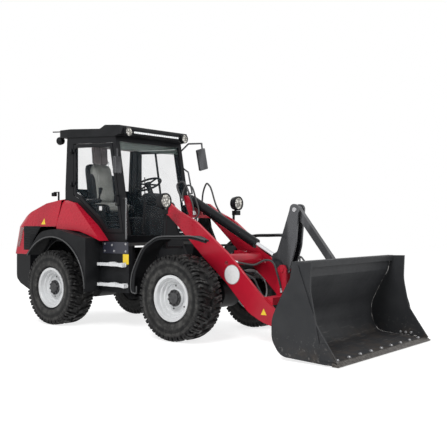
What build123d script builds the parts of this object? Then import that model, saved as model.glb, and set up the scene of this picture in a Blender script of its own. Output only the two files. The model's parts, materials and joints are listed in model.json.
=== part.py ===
"""Compact articulated wheel loader, built as separate named pieces.

Millimetres.  +X points to the bucket, +Y to the driver's left, +Z up.  While the pieces are
built, X is measured from the vertical articulation pin and Z from the ground.  Every piece is
then moved back by ORIGIN_X, so the finished frame has its origin on the ground at the centre
of the overall box.
"""
import math
import os

from build123d import *

os.makedirs("parts", exist_ok=True)

# ---------------------------------------------------------------- overall sizes
WHEELBASE = 2165.0
FRONT_AXLE_X = WHEELBASE / 2
REAR_AXLE_X = -WHEELBASE / 2
TYRE_R = 490.0
TYRE_W = 365.0
TRACK_Y = 740.0
RIM_R = 262.0
REAR_END = -2150.0
EDGE_TIP_X = 3312.0
ORIGIN_X = (REAR_END + EDGE_TIP_X) / 2

# ---------------------------------------------------------------- pins and pivots (x, z)
BOOM_PIVOT = (520.0, 1510.0)
BUCKET_PIN = (2440.0, 244.0)
LEVER_PIVOT = (2040.0, 811.0)
LEVER_TOP = (2190.0, 1484.0)
LINK_PIN = (2650.0, 905.0)
LIFT_BASE = (240.0, 560.0)
LIFT_EYE = (1180.0, 960.0)
TILT_BASE = (560.0, 1650.0)
TILT_EYE = (1950.0, 915.0)
STEER_BASE = (-600.0, 345.0)
STEER_EYE = (60.0, 235.0)
STEER_Z = 585.0
HOOD_HINGE = (-1180.0, 1693.0)
DOOR_HINGE = (-1000.0, 622.0)
PIN_FIT = 0.05
EYE_PLAY = 6.0

# ---------------------------------------------------------------- boom
BOOM_IN = 352.0
BOOM_PLATE = 40.0
BOOM_OUT = BOOM_IN + BOOM_PLATE
TOWER_OUT = 335.0
TOWER_PLATE = 32.0
TOWER_IN = TOWER_OUT - TOWER_PLATE
LIFT_Y = 235.0

# ---------------------------------------------------------------- cab and body widths
CAB_Y = 605.0
CAB_WALL = 50.0
CAB_FLOOR_Z = 1050.0
FLOOR_T = 40.0
SHOULDER_Y = 750.0
SHOULDER_Z = 1300.0
TOP_Y = 640.0
TOP_Z = 1640.0
BUCKET_Y = 1010.0


def box(x0, x1, y0, y1, z0, z1):
    """Block between two corners."""
    return Pos((x0 + x1) / 2, (y0 + y1) / 2, (z0 + z1) / 2) * Box(x1 - x0, y1 - y0, z1 - z0)


def outline(points):
    """Closed outline from corners; a third number rounds its corner to that radius."""
    radii = [corner[2] if len(corner) > 2 else 0 for corner in points]
    return FilletPolyline(*[corner[:2] for corner in points], radius=radii, close=True)


def slab(points, y0, y1):
    """Outline in X and Z, given thickness from y0 to y1."""
    return Pos(0, y0, 0) * extrude(make_face(Plane.XZ * outline(points)), y1 - y0, dir=(0, 1, 0))


def plan(points, z0, z1):
    """Outline in X and Y, given height from z0 to z1."""
    return Pos(0, 0, z0) * extrude(make_face(outline(points)), z1 - z0, dir=(0, 0, 1))


def cross(points, x0, x1):
    """Outline in Y and Z, given length from x0 to x1."""
    return Pos(x0, 0, 0) * extrude(make_face(Plane.YZ * outline(points)), x1 - x0, dir=(1, 0, 0))


def barrel(x, z, r, y0, y1):
    """Round bar along Y, centred on (x, z)."""
    return Pos(x, (y0 + y1) / 2, z) * Rot(90, 0, 0) * Cylinder(r, y1 - y0)


def post(x, y, r, z0, z1):
    """Round bar along Z."""
    return Pos(x, y, (z0 + z1) / 2) * Cylinder(r, z1 - z0)


def bar(p, q, r):
    """Round bar between two points."""
    p, q = Vector(*p), Vector(*q)
    run = q - p
    return Plane(origin=(p + q) / 2, z_dir=run) * Cylinder(r, run.length)


def rail(points, r):
    """Round bar bent along several points, with a ball at each bend."""
    shape = None
    for p, q in zip(points, points[1:]):
        shape = bar(p, q, r) if shape is None else shape + bar(p, q, r)
    for p in points[1:-1]:
        shape += Pos(*p) * Sphere(r)
    return shape


def spun(profile, x, y, z):
    """Body of revolution along X from (x, radius) corners, with its centre at a point."""
    return Pos(x, y, z) * revolve(make_face(Polyline(*profile, close=True)), Axis.X, 360)


def along(p, q, distance):
    """Point (x, z) at a distance from p towards q."""
    run = math.dist(p, q)
    return (p[0] + (q[0] - p[0]) * distance / run, p[1] + (q[1] - p[1]) * distance / run)


def both(shape):
    """The shape and its mirror image across the centre plane."""
    return shape + mirror(shape, about=Plane.XZ)


def put(name, shape):
    """Moves a finished piece to the final frame and saves it."""
    export_step(Pos(-ORIGIN_X, 0, 0) * shape, f"parts/{name}.step")


# ================================================================ wheels
LUGS = 20
LUG_SLANT = 20.0
LUG_WIDTH = 70.0
LUG_REACH = 60.0
TYRE_SIDES = 20


def tyre():
    """Tyre carcass of flat-sided rings around Y with two staggered rows of slanted shoulder lugs."""
    half = TYRE_W / 2
    top = math.sqrt(TYRE_R**2 - LUG_REACH**2)
    bore_r = (RIM_R - 20) / math.cos(math.pi / TYRE_SIDES)
    rings = [(RIM_R - 16, half - 62), (RIM_R + 6, half - 40), (TYRE_R - 108, half), (TYRE_R - 36, half - 30)]
    rings += [(r, -y) for r, y in reversed(rings)]
    rings += [(bore_r, 62 - half), (bore_r, half - 62)]
    spokes = [math.radians(i * 360 / TYRE_SIDES) for i in range(TYRE_SIDES + 1)]
    faces = []
    for (r0, y0), (r1, y1) in zip(rings, rings[1:] + rings[:1]):
        for a, b in zip(spokes, spokes[1:]):
            corners = [(r * math.sin(t), y, r * math.cos(t)) for r, y, t in ((r0, y0, a), (r0, y0, b), (r1, y1, b), (r1, y1, a))]
            faces.append(make_face(Polyline(*corners, close=True)).face())
    shape = Part(Solid(Shell(faces)).wrapped)
    lug_face = [(12, top - 60), (12, top), (half - 16, top - 8), (half - 7, top - 70)]
    for row in (1, -1):
        block = cross([(row * y, z) for y, z in lug_face], -LUG_WIDTH / 2, LUG_WIDTH / 2)
        middle = row * half / 2
        block = Pos(0, middle, 0) * Rot(0, 0, row * LUG_SLANT) * Pos(0, -middle, 0) * block
        for i in range(LUGS):
            shape += Rot(0, (i + (0.5 if row > 0 else 0)) * 360 / LUGS, 0) * block
    return shape


def rim(side):
    """Dished wheel disc with its hub, open side towards +Y times side."""
    half = TYRE_W / 2 - 26
    profile = [
        (0, 60), (70, 60), (70, 90), (95, 90), (105, 62), (105, 40), (160, 40), (172, 64), (190, 68), (200, 102), (216, 106),
        (RIM_R - 36, half - 8), (RIM_R - 30, half), (RIM_R, half), (RIM_R, half - 14),
        (RIM_R - 20, half - 28), (RIM_R - 20, half - 36.3), (RIM_R - 20, 14 - half), (RIM_R, -half), (RIM_R - 14, -half),
        (RIM_R - 36, 22 - half), (RIM_R - 36, half - 78), (205, 60), (178, 20), (0, 20),
    ]
    face = make_face(Plane.XY * Polyline(*[(r, y * side) for r, y in profile], close=True))
    return revolve(face, Axis.Y, 360)


WHEELS = (
    ("front_left", FRONT_AXLE_X, 1), ("front_right", FRONT_AXLE_X, -1),
    ("rear_left", REAR_AXLE_X, 1), ("rear_right", REAR_AXLE_X, -1),
)
base_tyre = tyre()
for name, x, side in WHEELS:
    turned = base_tyre if side > 0 else mirror(base_tyre, about=Plane.XZ)
    put(f"tyre_{name}", Pos(x, side * TRACK_Y, TYRE_R) * turned)
    put(f"rim_{name}", Pos(x, side * TRACK_Y, TYRE_R) * rim(side))

# ================================================================ axles
HUB_FACE = TRACK_Y + 20 - 0.3


def axle(x, block_z):
    """Axle tube with its differential, hubs and seat blocks up to the frame."""
    shape = both(barrel(x, TYRE_R, 85, 0, HUB_FACE - 60) + barrel(x, TYRE_R, 130, HUB_FACE - 150, HUB_FACE))
    shape += barrel(x, TYRE_R, 175, -150, 150)
    shape += both(box(x - 90, x + 90, 180, 240, TYRE_R, block_z))
    return shape


RAIL_IN, RAIL_OUT = 180.0, 240.0
RAIL_Z0, RAIL_Z1 = 690.0, 830.0
put("rear_axle", axle(REAR_AXLE_X, RAIL_Z0))
put("front_axle", axle(FRONT_AXLE_X, RAIL_Z0))

# ================================================================ rear frame
HITCH_R = 26.0
HITCH_TOP = (770.0, 812.0)
HITCH_LOW = (370.0, 412.0)
LUG_T = 26.0


def hitch_plate(x_far, half_far, z0, z1, r):
    """Flat lug with a rounded end around the articulation pin."""
    points = [(x_far, -half_far), (0, -r), (0, r), (x_far, half_far)]
    return plan(points, z0, z1) + post(0, 0, r, z0, z1)


chassis = both(box(-1762, -250, RAIL_IN, RAIL_OUT, RAIL_Z0, RAIL_Z1))
chassis += box(-300, -250, -RAIL_OUT, RAIL_OUT, 340, RAIL_Z1)
chassis += both(slab([(-300, 340), (-300, RAIL_Z0), (-760, RAIL_Z0)], RAIL_IN, RAIL_OUT))
for z in HITCH_TOP + HITCH_LOW:
    chassis += hitch_plate(-260, 150, z - LUG_T / 2, z + LUG_T / 2, 100)
chassis += post(0, 0, HITCH_R, HITCH_TOP[0] - 30, HITCH_TOP[1] + 26)
chassis += post(0, 0, HITCH_R, HITCH_LOW[0] - 26, HITCH_LOW[1] + 30)
chassis += both(box(-1060, -960, RAIL_IN, RAIL_OUT, RAIL_Z1, CAB_FLOOR_Z))
chassis += both(box(-330, -250, RAIL_IN, RAIL_OUT, RAIL_Z1, CAB_FLOOR_Z))
chassis += both(box(-430, -380, RAIL_OUT, 396, 700, 780))
chassis += box(-1230, -1190, -RAIL_OUT, RAIL_OUT, RAIL_Z1, 1200)
chassis += box(-1762, -1640, -RAIL_OUT, RAIL_OUT, RAIL_Z0, RAIL_Z1)
chassis += post(STEER_BASE[0], STEER_BASE[1], 18, STEER_Z - 45, STEER_Z + 60)
chassis += box(STEER_BASE[0] - 35, STEER_BASE[0] + 35, RAIL_IN, STEER_BASE[1] + 35, STEER_Z + 40, RAIL_Z0)
put("rear_chassis", chassis)

# ================================================================ counterweight
weight = slab(
    [(REAR_END + 8, 905), (REAR_END + 8, 720, 70), (-2067, 560, 60), (-1990, 496, 90), (-1762, 406), (-1762, 905)], -730, 730)
weight = weight & plan([(-1762, -730), (-1762, 730), (REAR_END + 8, 730, 90), (REAR_END + 8, -730, 90)], 400, 905)
TOW_X, TOW_R = REAR_END + 70.0, 17.5
weight -= box(REAR_END - 10, TOW_X + 70, -90, 90, 470, 720)
weight -= post(TOW_X, 0, TOW_R, 480, 800)
tow_lower = box(REAR_END + 8, TOW_X + 80, -70, 70, 600, 630)
weight += tow_lower - post(TOW_X, 0, TOW_R, 480, 800)
put("counterweight", weight)

# ================================================================ engine
put("engine_block", box(-1750, -1240, -250, 250, RAIL_Z1, 1340))

# ================================================================ rear fenders
ARCH_R = 655.0
FENDER_IN, FENDER_OUT = CAB_Y, 885.0
fender_top = [
    (-1640, 905), (-1330, 1225, 320), (-1000, 1262, 700), (-400, 1150), (-400, 470), (-1640, 470),
]
LIP = 16.0
arch = barrel(REAR_AXLE_X, TYRE_R, ARCH_R, FENDER_IN - 50, FENDER_OUT + 50)
fender = slab(fender_top, FENDER_IN, FENDER_OUT) - arch
fender -= Pos(0, 0, -22) * slab(fender_top[:4] + [(-422, 492), (-1640, 492)], FENDER_IN + 20, FENDER_OUT - 22)
lip = barrel(REAR_AXLE_X, TYRE_R, ARCH_R + LIP, FENDER_OUT - 30, FENDER_OUT + 8) - arch
fender += lip & slab(fender_top, FENDER_OUT - 60, FENDER_OUT + 60)
fender -= box(-1700, -1300, FENDER_IN - 50, FENDER_OUT + 50, 400, 902)
put("rear_fenders", both(fender))

# ================================================================ side boxes below the doors
BOX_Y = 640.0
side_box = plan([(-400, BOX_Y), (130, BOX_Y), (130, 578), (-80, 396), (-400, 396)], 470, CAB_FLOOR_Z)
put("side_boxes", both(side_box))

# ================================================================ steps and hand rails
steps = None
for z, x1 in ((560, 115), (815, 85)):
    tread = plan([(-398, BOX_Y), (-390, 700), (x1 - 40, 700), (x1, BOX_Y)], z - 16, z + 16)
    steps = tread if steps is None else steps + tread
RAIL_X = 100.0
hand = rail([(40, CAB_Y - 3, 1150), (RAIL_X, 655, 1140), (RAIL_X - 5, 655, 1640), (0, CAB_Y - 3, 1650)], 11)
rails = both(steps + hand)

# ================================================================ cab
CAB_SIDE = [(-1150, 1090), (50, 1090), (70, 1185), (-55, 1872), (-155, 2432), (-1110, 2480), (-1150, 1800)]
INNER = [(-1105, 1091), (0, 1091), (14, 1185), (-108, 1860), (-200, 2384), (-1068, 2430), (-1104, 1800)]
DOOR_HOLE = [
    (-985, 2390), (-985, 1712), (-880, 1660), (-482, 1372), (-340, 1206), (0, 1206), (-118, 1860), (-208, 2384 - 22),
]
shell = slab(CAB_SIDE, -CAB_Y, CAB_Y) - slab(INNER, -CAB_Y + CAB_WALL, CAB_Y - CAB_WALL)
shell -= slab(DOOR_HOLE, -CAB_Y - 5, CAB_Y + 5)
shell -= box(-1200, -1050, -CAB_Y + 60, CAB_Y - 60, 1800, 2410)
front_cut = [(-60, 1180), (200, 1180), (0, 2372), (-300, 2372)]
shell -= slab(front_cut, -CAB_Y + 62, CAB_Y - 62)
shell -= box(-1090, -10, -CAB_Y + CAB_WALL, CAB_Y - CAB_WALL, 1080, 1100)
HINGE_Z = (1860, 2300)
for z in HINGE_Z:
    shell += both(box(DOOR_HINGE[0] - 45, DOOR_HINGE[0] - 16, CAB_Y - 5, DOOR_HINGE[1] + 8, z - 42, z - 22)
                  + box(DOOR_HINGE[0] - 45, DOOR_HINGE[0] + 10, CAB_Y + 6, DOOR_HINGE[1] + 8, z - 42, z - 32)
                  + post(*DOOR_HINGE, 7, z - 40, z + 30))
put("cab_frame", shell)
put("steps_rails", rails - shell)

floor = box(-1150, 50, -CAB_Y, CAB_Y, CAB_FLOOR_Z, CAB_FLOOR_Z + FLOOR_T)
put("cab_floor", floor)

roof = slab(
    [(-1299, 2492, 14), (-1299, 2590, 40), (-1017, 2588, 300), (-428, 2546, 70), (-330, 2588, 60), (-22, 2562, 34),
     (-50, 2455, 12), (-155, 2432), (-1110, 2480)], -CAB_Y - 20, CAB_Y + 20)
roof = roof & plan([(-1299, -CAB_Y - 20, 90), (-22, -CAB_Y - 20, 70), (-22, CAB_Y + 20, 70), (-1299, CAB_Y + 20, 90)], 2400, 2600)

pane = slab([(40, 1180.3), (47, 1180.3), (-160, 2371.7), (-167, 2371.7)], -CAB_Y + 62.3, CAB_Y - 62.3)
rear_pane = box(-1136, -1130, -CAB_Y + 60.3, CAB_Y - 60.3, 1800.3, 2409.7)
put("cab_glass", pane + rear_pane)

# ================================================================ doors
door_edge = [
    (-977, 2380), (-977, 1718), (-876, 1668), (-478, 1380), (-335, 1214), (-10, 1214), (-127, 1858), (-217, 2352),
]
glass_edge = [
    (-930, 2335), (-930, 1748), (-852, 1710), (-444, 1414), (-312, 1262), (-66, 1262), (-172, 1850), (-258, 2308),
]
door = slab(door_edge, CAB_Y - 38, CAB_Y) - slab(glass_edge, CAB_Y - 60, CAB_Y + 20)
for z in HINGE_Z:
    door += box(-974, -940, CAB_Y - 1, CAB_Y + 12, z - 20, z + 20)
    door += box(DOOR_HINGE[0], -973, CAB_Y + 6, CAB_Y + 12, z - 20, z + 20)
    door += post(*DOOR_HINGE, 14, z - 20, z + 20)
    door -= post(*DOOR_HINGE, 7 + PIN_FIT, z - 30, z + 40)
door += rail([(-105, CAB_Y - 2, 1560), (-105, CAB_Y + 34, 1560), (-105, CAB_Y + 34, 1680), (-105, CAB_Y - 2, 1680)], 9)
door_glass = slab(glass_edge, CAB_Y - 24, CAB_Y - 18)
divider = slab([(-655, 2340), (-625, 2340), (-470, 1430), (-500, 1455)], CAB_Y - 18, CAB_Y - 4)
put("door_left", door + divider)
put("door_right", mirror(door, about=Plane.XZ))
put("door_glass_left", door_glass)
put("door_glass_right", mirror(door_glass, about=Plane.XZ))

# ================================================================ seat, controls
seat = box(-1000, -560, -360, 120, 1480, 1600)
seat += slab([(-1000, 1590), (-860, 1590), (-960, 2170), (-1050, 2170)], -360, 100)
seat += slab([(-1040, 2168), (-965, 2168), (-985, 2405), (-1045, 2405)], -251, -128)
seat += slab([(-1040, 2168), (-965, 2168), (-985, 2405), (-1045, 2405)], -122, 2)
seat += box(-1040, -990, -140, -110, 2100, 2400)
seat += box(-930, -620, -280, 40, CAB_FLOOR_Z + FLOOR_T, 1481)
put("seat", seat)

STEER_Y = 100.0
column = slab(
    [(-240, CAB_FLOOR_Z + FLOOR_T), (-60, CAB_FLOOR_Z + FLOOR_T), (-110, 1560), (-200, 1600)], STEER_Y - 180, STEER_Y + 180)
column += bar((-150, STEER_Y, 1560), (-288, STEER_Y, 1856), 34)
wheel_plane = Plane(origin=(-288, STEER_Y, 1856), z_dir=(-0.42, 0, 0.9))
column += wheel_plane * (Torus(180, 14) + Cylinder(45, 40) + Box(350, 22, 14) + Box(22, 350, 14))
put("steering_column", column)

# ================================================================ mirrors
left_arm = rail([(-150, CAB_Y - 5, 2330), (-100, 700, 2440), (-10, 880, 2455), (-10, 900, 2300)], 12)
left_shell = Box(45, 170, 300)
left_head = Pos(-10, 885, 2230) * Rot(14, 0, 0) * fillet(left_shell.edges(), 16)
right_arm = rail([(-120, -CAB_Y + 5, 2250), (-60, -660, 2260), (-55, -665, 2100)], 12)
right_shell = Box(45, 120, 220)
right_head = Pos(-55, -665, 2060) * fillet(right_shell.edges(), 16)
pillar_rail = rail([(-150, CAB_Y - 3, 2095), (-150, 655, 2095), (-60, 655, 2040), (12, 655, 1745), (-20, CAB_Y - 3, 1735)], 11)
put("mirrors", left_arm + left_head + right_arm + right_head + pillar_rail - shell)

# ================================================================ lamps of the rear frame
lamp_can = [(0, 0), (-58, 0), (-58, 34), (-34, 56), (2, 62), (14, 62), (14, 54), (6, 52), (6, 0)]
lamps = both(spun(lamp_can, -12, 516, 2486))
lamps += box(-48, -20, -420, 420, 2468, 2504)
lamps += both(spun([(-x, r * 0.9) for x, r in lamp_can], -1340, 540, 2462))
lamps += both(box(-1320, -1298, 520, 560, 2480, 2560) + bar((-1285, 560, 2580), (-1475, 560, 2592), 8))
put("body_lamps", lamps)
put("cab_roof", roof - lamps)
TAIL_Z = (985.0, 1165.0)
tail_block = plan(
    [(REAR_END, 640), (REAR_END, SHOULDER_Y + 2, 30), (REAR_END + 92, SHOULDER_Y + 2), (REAR_END + 92, 725), (REAR_END + 36, 725),
     (REAR_END + 36, 640)], *TAIL_Z)

# ================================================================ red body panels and hood
SKIN = 14.0
section = [
    (-SHOULDER_Y, 880), (-SHOULDER_Y, SHOULDER_Z, 260), (-TOP_Y, TOP_Z + 6, 110), (-220, 1706, 1500), (220, 1706, 1500),
    (TOP_Y, TOP_Z + 6, 110), (SHOULDER_Y, SHOULDER_Z, 260), (SHOULDER_Y, 880),
]
panel = slab(
    [(-1155, 1262), (-1155, 1640), (-1075, 1640), (-890, 1600), (-470, 1300), (-345, 1180), (-281, 1112), (-508, 1184),
     (-677, 1229), (-801, 1240), (-1038, 1258)], CAB_Y, SHOULDER_Y)
panel = panel & cross(section, -1200, -200)
panel -= fender
put("side_panels", both(panel))

hood_side = [
    (-1165, 1290), (-1165, 1676), (-1400, 1668, 900), (-1900, 1568, 500), (-2098, 1462, 120), (REAR_END + 22, 1300, 200),
    (REAR_END + 22, 915), (-1780, 915), (-1640, 1130), (-1500, 1290),
]
hood_inner = [
    (-1100, 1200), (-1100, 1662), (-1400, 1654, 886), (-1900, 1554, 486), (-2086, 1455, 106), (REAR_END + 36, 1298, 190),
    (REAR_END + 36, 900), (-1100, 900),
]
inner_section = [
    (-SHOULDER_Y + SKIN, 870), (-SHOULDER_Y + SKIN, SHOULDER_Z - 3, 246), (-TOP_Y + SKIN, TOP_Z - 6, 96), (-220, 1692, 1486),
    (220, 1692, 1486), (TOP_Y - SKIN, TOP_Z - 6, 96), (SHOULDER_Y - SKIN, SHOULDER_Z - 3, 246), (SHOULDER_Y - SKIN, 870),
]
hood = slab(hood_side, -SHOULDER_Y, SHOULDER_Y) & cross(section, REAR_END - 50, -1150)
hood -= slab(hood_inner, -SHOULDER_Y, SHOULDER_Y) & cross(inner_section, REAR_END - 50, -1100)
GRILLE = [(-1945, 935), (-1945, 1285), (-1600, 1285), (-1668, 1140), (-1800, 935)]
hood -= slab(GRILLE, -SHOULDER_Y - 5, SHOULDER_Y + 5)
hood += both(box(HOOD_HINGE[0] - 12, HOOD_HINGE[0] + 10, 328, 360, 1676, HOOD_HINGE[1]) + barrel(*HOOD_HINGE, 12, 328, 360))
hood -= both(barrel(*HOOD_HINGE, 6 + PIN_FIT, 320, 370))
hood -= both(tail_block)
put("engine_hood", hood)
bracket = box(-1320, -1290, 585, 600, 1600, 1764) + box(-1420, -1290, 585, 615, 1752, 1764) + box(-1422, -1362, 578, 628, 1704, 1753)
put("tail_lamps", both(tail_block + bracket - hood))
grille = both(slab(GRILLE, SHOULDER_Y - SKIN, SHOULDER_Y - 4) & slab(GRILLE, 0, SHOULDER_Y))
grille += box(REAR_END + 8, REAR_END + 21.9, -480, 480, 940, 1240)
SLATS = 9
for i in range(SLATS):
    z = 952 + i * 34
    grille += box(REAR_END + 1, REAR_END + 9, -466, 466, z - 5, z + 9)
    slat = box(-1960, -1580, SHOULDER_Y - 6, SHOULDER_Y - 0.5, z - 6, z + 10) & slab(GRILLE, 0, SHOULDER_Y)
    grille += both(slat)
put("hood_grille", grille)
cowl = box(-1160, -1150, -560, 560, CAB_FLOOR_Z, 1660) + both(box(-1160, -1150, 280, 380, 1650, 1712))
cowl += both(box(HOOD_HINGE[0], -1155, 304, 324, 1684, 1702) + barrel(*HOOD_HINGE, 12, 304, 324) + barrel(*HOOD_HINGE, 6, 310, 362))
put("rear_cowl", cowl)

# ================================================================ front frame
tower = [
    (150, 350), (150, 830), (330, 900), (440, 1420), (450, 1560), (480, 1590), (560, 1590), (590, 1560), (640, 1280),
    (860, 840), (1330, 700), (1330, RAIL_Z0), (900, RAIL_Z0), (760, 420), (600, 350),
]
front = both(slab(tower, TOWER_IN, TOWER_OUT))
front += box(150, 190, -TOWER_OUT, TOWER_OUT, 350, 830)
front += both(slab([(190, 350), (190, 830), (330, 900), (470, 700), (470, 500), (400, 350)], 150, 170))
front += box(620, 680, -TOWER_OUT, TOWER_OUT, 440, 650)
front += box(900, 1330, -TOWER_OUT, TOWER_OUT, RAIL_Z0, RAIL_Z0 + 30)
for z in ((HITCH_TOP[0] + HITCH_TOP[1]) / 2, (HITCH_LOW[0] + HITCH_LOW[1]) / 2):
    front += hitch_plate(160, 120, z - LUG_T / 2 + 8, z + LUG_T / 2 - 8, 92)
front -= post(0, 0, HITCH_R + PIN_FIT, 300, 900)
front += both(barrel(*BOOM_PIVOT, 45, TOWER_IN, BOOM_OUT + 12) + barrel(*LIFT_BASE, 24, 170, TOWER_IN))
STEER_EYE_W = 26.0
STEER_LUG = STEER_EYE_W + EYE_PLAY
for z in (STEER_Z + STEER_LUG, STEER_Z - STEER_LUG - 24):
    front += box(STEER_EYE[0] - 36, 151, STEER_EYE[1] - 45, STEER_EYE[1] + 45, z, z + 24)
for z in (STEER_Z + STEER_LUG + 24, STEER_Z - STEER_LUG - 32):
    front += post(*STEER_EYE, 30, z, z + 8)
front += both(box(690, 745, TOWER_OUT - 1, 615, 1035, 1062))
put("front_chassis", front)

# ================================================================ front fenders
FF_IN, FF_OUT = 615.0, 900.0
arch_outer = [(440, 519), (440, 690, 250), (640, 1060, 300), (860, 1180, 400), (1400, 1194, 400), (1612, 1152)]
arch_inner = [
    (1606, 1134), (1400, 1174, 380), (866, 1160, 380), (656, 1046, 280), (462, 686, 230), (462, 519),
]
flange_inner = [
    (1606, 1132), (1400, 1160, 360), (884, 1132, 360), (690, 1022, 250), (506, 676, 200), (506, 519),
]
front_fender = slab(arch_outer + arch_inner, FF_IN, FF_OUT)
front_fender += slab(arch_outer + flange_inner, FF_OUT - 16, FF_OUT)
front_fender += box(735, 780, 622, 660, 1040, 1120)
put("front_fenders", both(front_fender))

# ================================================================ headlamps on stalks
LAMP = (757.0, 685.0, 1595.0)
head = spun([(0, 0), (-60, 0), (-60, 40), (-30, 82), (20, 92), (55, 92), (55, 80), (42, 76), (42, 0)], *LAMP)
head += bar((757, 641, 1120), (757, 641, 1445), 16)
head += bar((757, 675, 1495), (757, 685, 1520), 16)
head += box(730, 800, 640, 730, 1440, 1500)
put("headlamps", both(head - front_fender))

# ================================================================ boom
boom_plate = [
    (470, 1575, 30), (560, 1592, 60), (720, 1487, 200), (1000, 1362, 600), (1500, 984, 900), (1950, 550, 400),
    (2180, 372, 260), (2450, 330), (2450, 158), (2290, 170, 200), (1990, 247, 300), (1800, 335, 300), (1480, 650, 700),
    (1128, 940), (720, 1300), (560, 1432, 80), (455, 1450, 40),
]
PIN_R = 32.0
plate = slab(boom_plate, BOOM_IN, BOOM_OUT) + barrel(*BUCKET_PIN, 88, BOOM_IN, BOOM_OUT)
plate -= barrel(*BOOM_PIVOT, 45 + PIN_FIT, BOOM_IN - 5, BOOM_OUT + 5)
plate -= barrel(1480, 878, 26, BOOM_IN - 5, BOOM_OUT + 5)
plate += barrel(*BUCKET_PIN, PIN_R, BOOM_IN - 60, BOOM_OUT + 60)
boom = both(plate)
boom += barrel(1372, 905, 70, -BOOM_IN - 1, BOOM_IN + 1)
boom += box(1960, 2100, -BOOM_IN - 1, BOOM_IN + 1, 440, 520)
eye_lug = slab([(1140, 930), (1140, 1000), (1205, 1006), (1372, 965), (1350, 860), (1205, 916)], 0, 20)
for y in (LIFT_Y - 62, LIFT_Y + 42):
    boom += both(Pos(0, y, 0) * eye_lug)
for y in (LIFT_Y - 72, LIFT_Y + 62):
    boom += both(barrel(*LIFT_EYE, 32, y, y + 10))
lever_lug = slab([(1985, 830), (2020, 865), (2070, 865), (2100, 820), (2100, 500), (1970, 500)], 0, 26)
for y in (78, -104):
    boom += Pos(0, y, 0) * lever_lug
boom += barrel(*LEVER_PIVOT, PIN_R, -112, 112)
boom += box(640, 720, -BOOM_IN - 1, BOOM_IN + 1, 1400, 1440)
base_lug = slab([(530, 1620), (530, 1680), (590, 1680), (640, 1620), (718, 1436), (640, 1404)], 0, 20)
for y in (58, -78):
    boom += Pos(0, y, 0) * base_lug
boom += barrel(*TILT_BASE, 24, -78, 78)
put("boom", boom)


# ================================================================ cylinders
def ram(base, eye, y, tube_r, rod_r, pin_r, tube_len, eye_w, tail_at):
    """Barrel and rod of a hydraulic cylinder lying in X and Z at one Y. The rod's eye holds its own pin."""
    length = math.dist(base, eye)
    head_at = along(base, eye, tube_len)
    tube = bar((*base[:1], y, base[1]), (head_at[0], y, head_at[1]), tube_r)
    start = along(base, eye, -10)
    neck = along(base, eye, tube_r + 22)
    tube -= bar((start[0], y, start[1]), (neck[0], y, neck[1]), tube_r + 5)
    tube += barrel(*base, pin_r + 18, y - eye_w, y + eye_w)
    tube += bar((base[0], y, base[1]), (neck[0], y, neck[1]), tube_r * 0.55)
    tube -= barrel(*base, pin_r + PIN_FIT, y - 100, y + 100)
    mouth = along(base, eye, tube_len + 5)
    tail = along(base, eye, tube_r + 45)
    tube -= bar((tail[0], y, tail[1]), (mouth[0], y, mouth[1]), rod_r + PIN_FIT)
    stop = along(base, eye, length - pin_r - 8)
    rod_from = along(base, eye, tail_at)
    rod_piece = bar((rod_from[0], y, rod_from[1]), (stop[0], y, stop[1]), rod_r)
    rod_piece += barrel(*eye, pin_r + 18, y - eye_w, y + eye_w)
    return tube, rod_piece


lift_tube, lift_rod = ram(LIFT_BASE, LIFT_EYE, LIFT_Y, 52, 28, 24, 940, 36, 105)
put("lift_barrels", both(lift_tube))
put("lift_rods", both(lift_rod))
tilt_tube, tilt_rod = ram(TILT_BASE, TILT_EYE, 0, 58, 30, 24, 1190, 40, 760)
put("tilt_barrel", tilt_tube)
put("tilt_rod", tilt_rod)

steer_len = math.dist(STEER_BASE, STEER_EYE)
flat_tube, flat_rod = ram((0, 0), (steer_len, 0), 0, 34, 18, 18, 450, STEER_EYE_W, 248)
steer_turn = math.degrees(math.atan2(STEER_EYE[1] - STEER_BASE[1], STEER_EYE[0] - STEER_BASE[0]))
steer_place = Pos(STEER_BASE[0], STEER_BASE[1], STEER_Z) * Rot(0, 0, steer_turn) * Rot(90, 0, 0)
put("steer_barrel", steer_place * flat_tube)
put("steer_rod", steer_place * flat_rod)

# ================================================================ lever, link
LEVER_IN, LEVER_OUT = 44.0, 70.0
lever_outline = [
    (1880, 890, 34), (1892, 985, 40), (1955, 1008, 60), (2120, 1470, 300), (2140, 1548, 50), (2246, 1548, 55), (2240, 1440, 60),
    (2205, 1076, 300), (2105, 765, 60), (2005, 765, 50), (1940, 838, 60),
]
lever = both(slab(lever_outline, LEVER_IN, LEVER_OUT))
lever -= barrel(*LEVER_PIVOT, PIN_R + PIN_FIT, -90, 90)
lever += barrel(*LEVER_TOP, 24, -LEVER_OUT, LEVER_OUT)
lever += barrel(2060, 1110, 30, -LEVER_OUT, LEVER_OUT)
put("lever", lever)

link_run = math.dist(LEVER_TOP, LINK_PIN)
link_turn = math.degrees(math.atan2(LINK_PIN[1] - LEVER_TOP[1], LINK_PIN[0] - LEVER_TOP[0]))
link = box(0, link_run, -30, 30, -38, 38) + barrel(0, 0, 46, -36, 36) + barrel(link_run, 0, 46, -55, 55)
link -= barrel(0, 0, 24 + PIN_FIT, -50, 50)
link = Pos(LEVER_TOP[0], 0, LEVER_TOP[1]) * Rot(0, -link_turn, 0) * link
put("link", link)

# ================================================================ coupler and bucket
coupler_plate = [
    (2395, 185, 40), (2395, 300, 60), (2480, 460, 200), (2610, 950, 46), (2700, 950, 40), (2700, 860, 60), (2800, 740), (2800, 185),
]
coupler = both(slab(coupler_plate, 62, 86))
coupler += both(barrel(*LINK_PIN, 32, 85, 98))
ear = slab([(2395, 205), (2395, 290), (2430, 330), (2600, 330), (2600, 175), (2440, 175)], BOOM_IN - 45, BOOM_IN - 10)
ear -= barrel(*BUCKET_PIN, PIN_R + PIN_FIT, 0, 500)
coupler += both(ear)
coupler += box(2500, 2600, -BOOM_IN + 10, BOOM_IN - 10, 215, 300)

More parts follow.
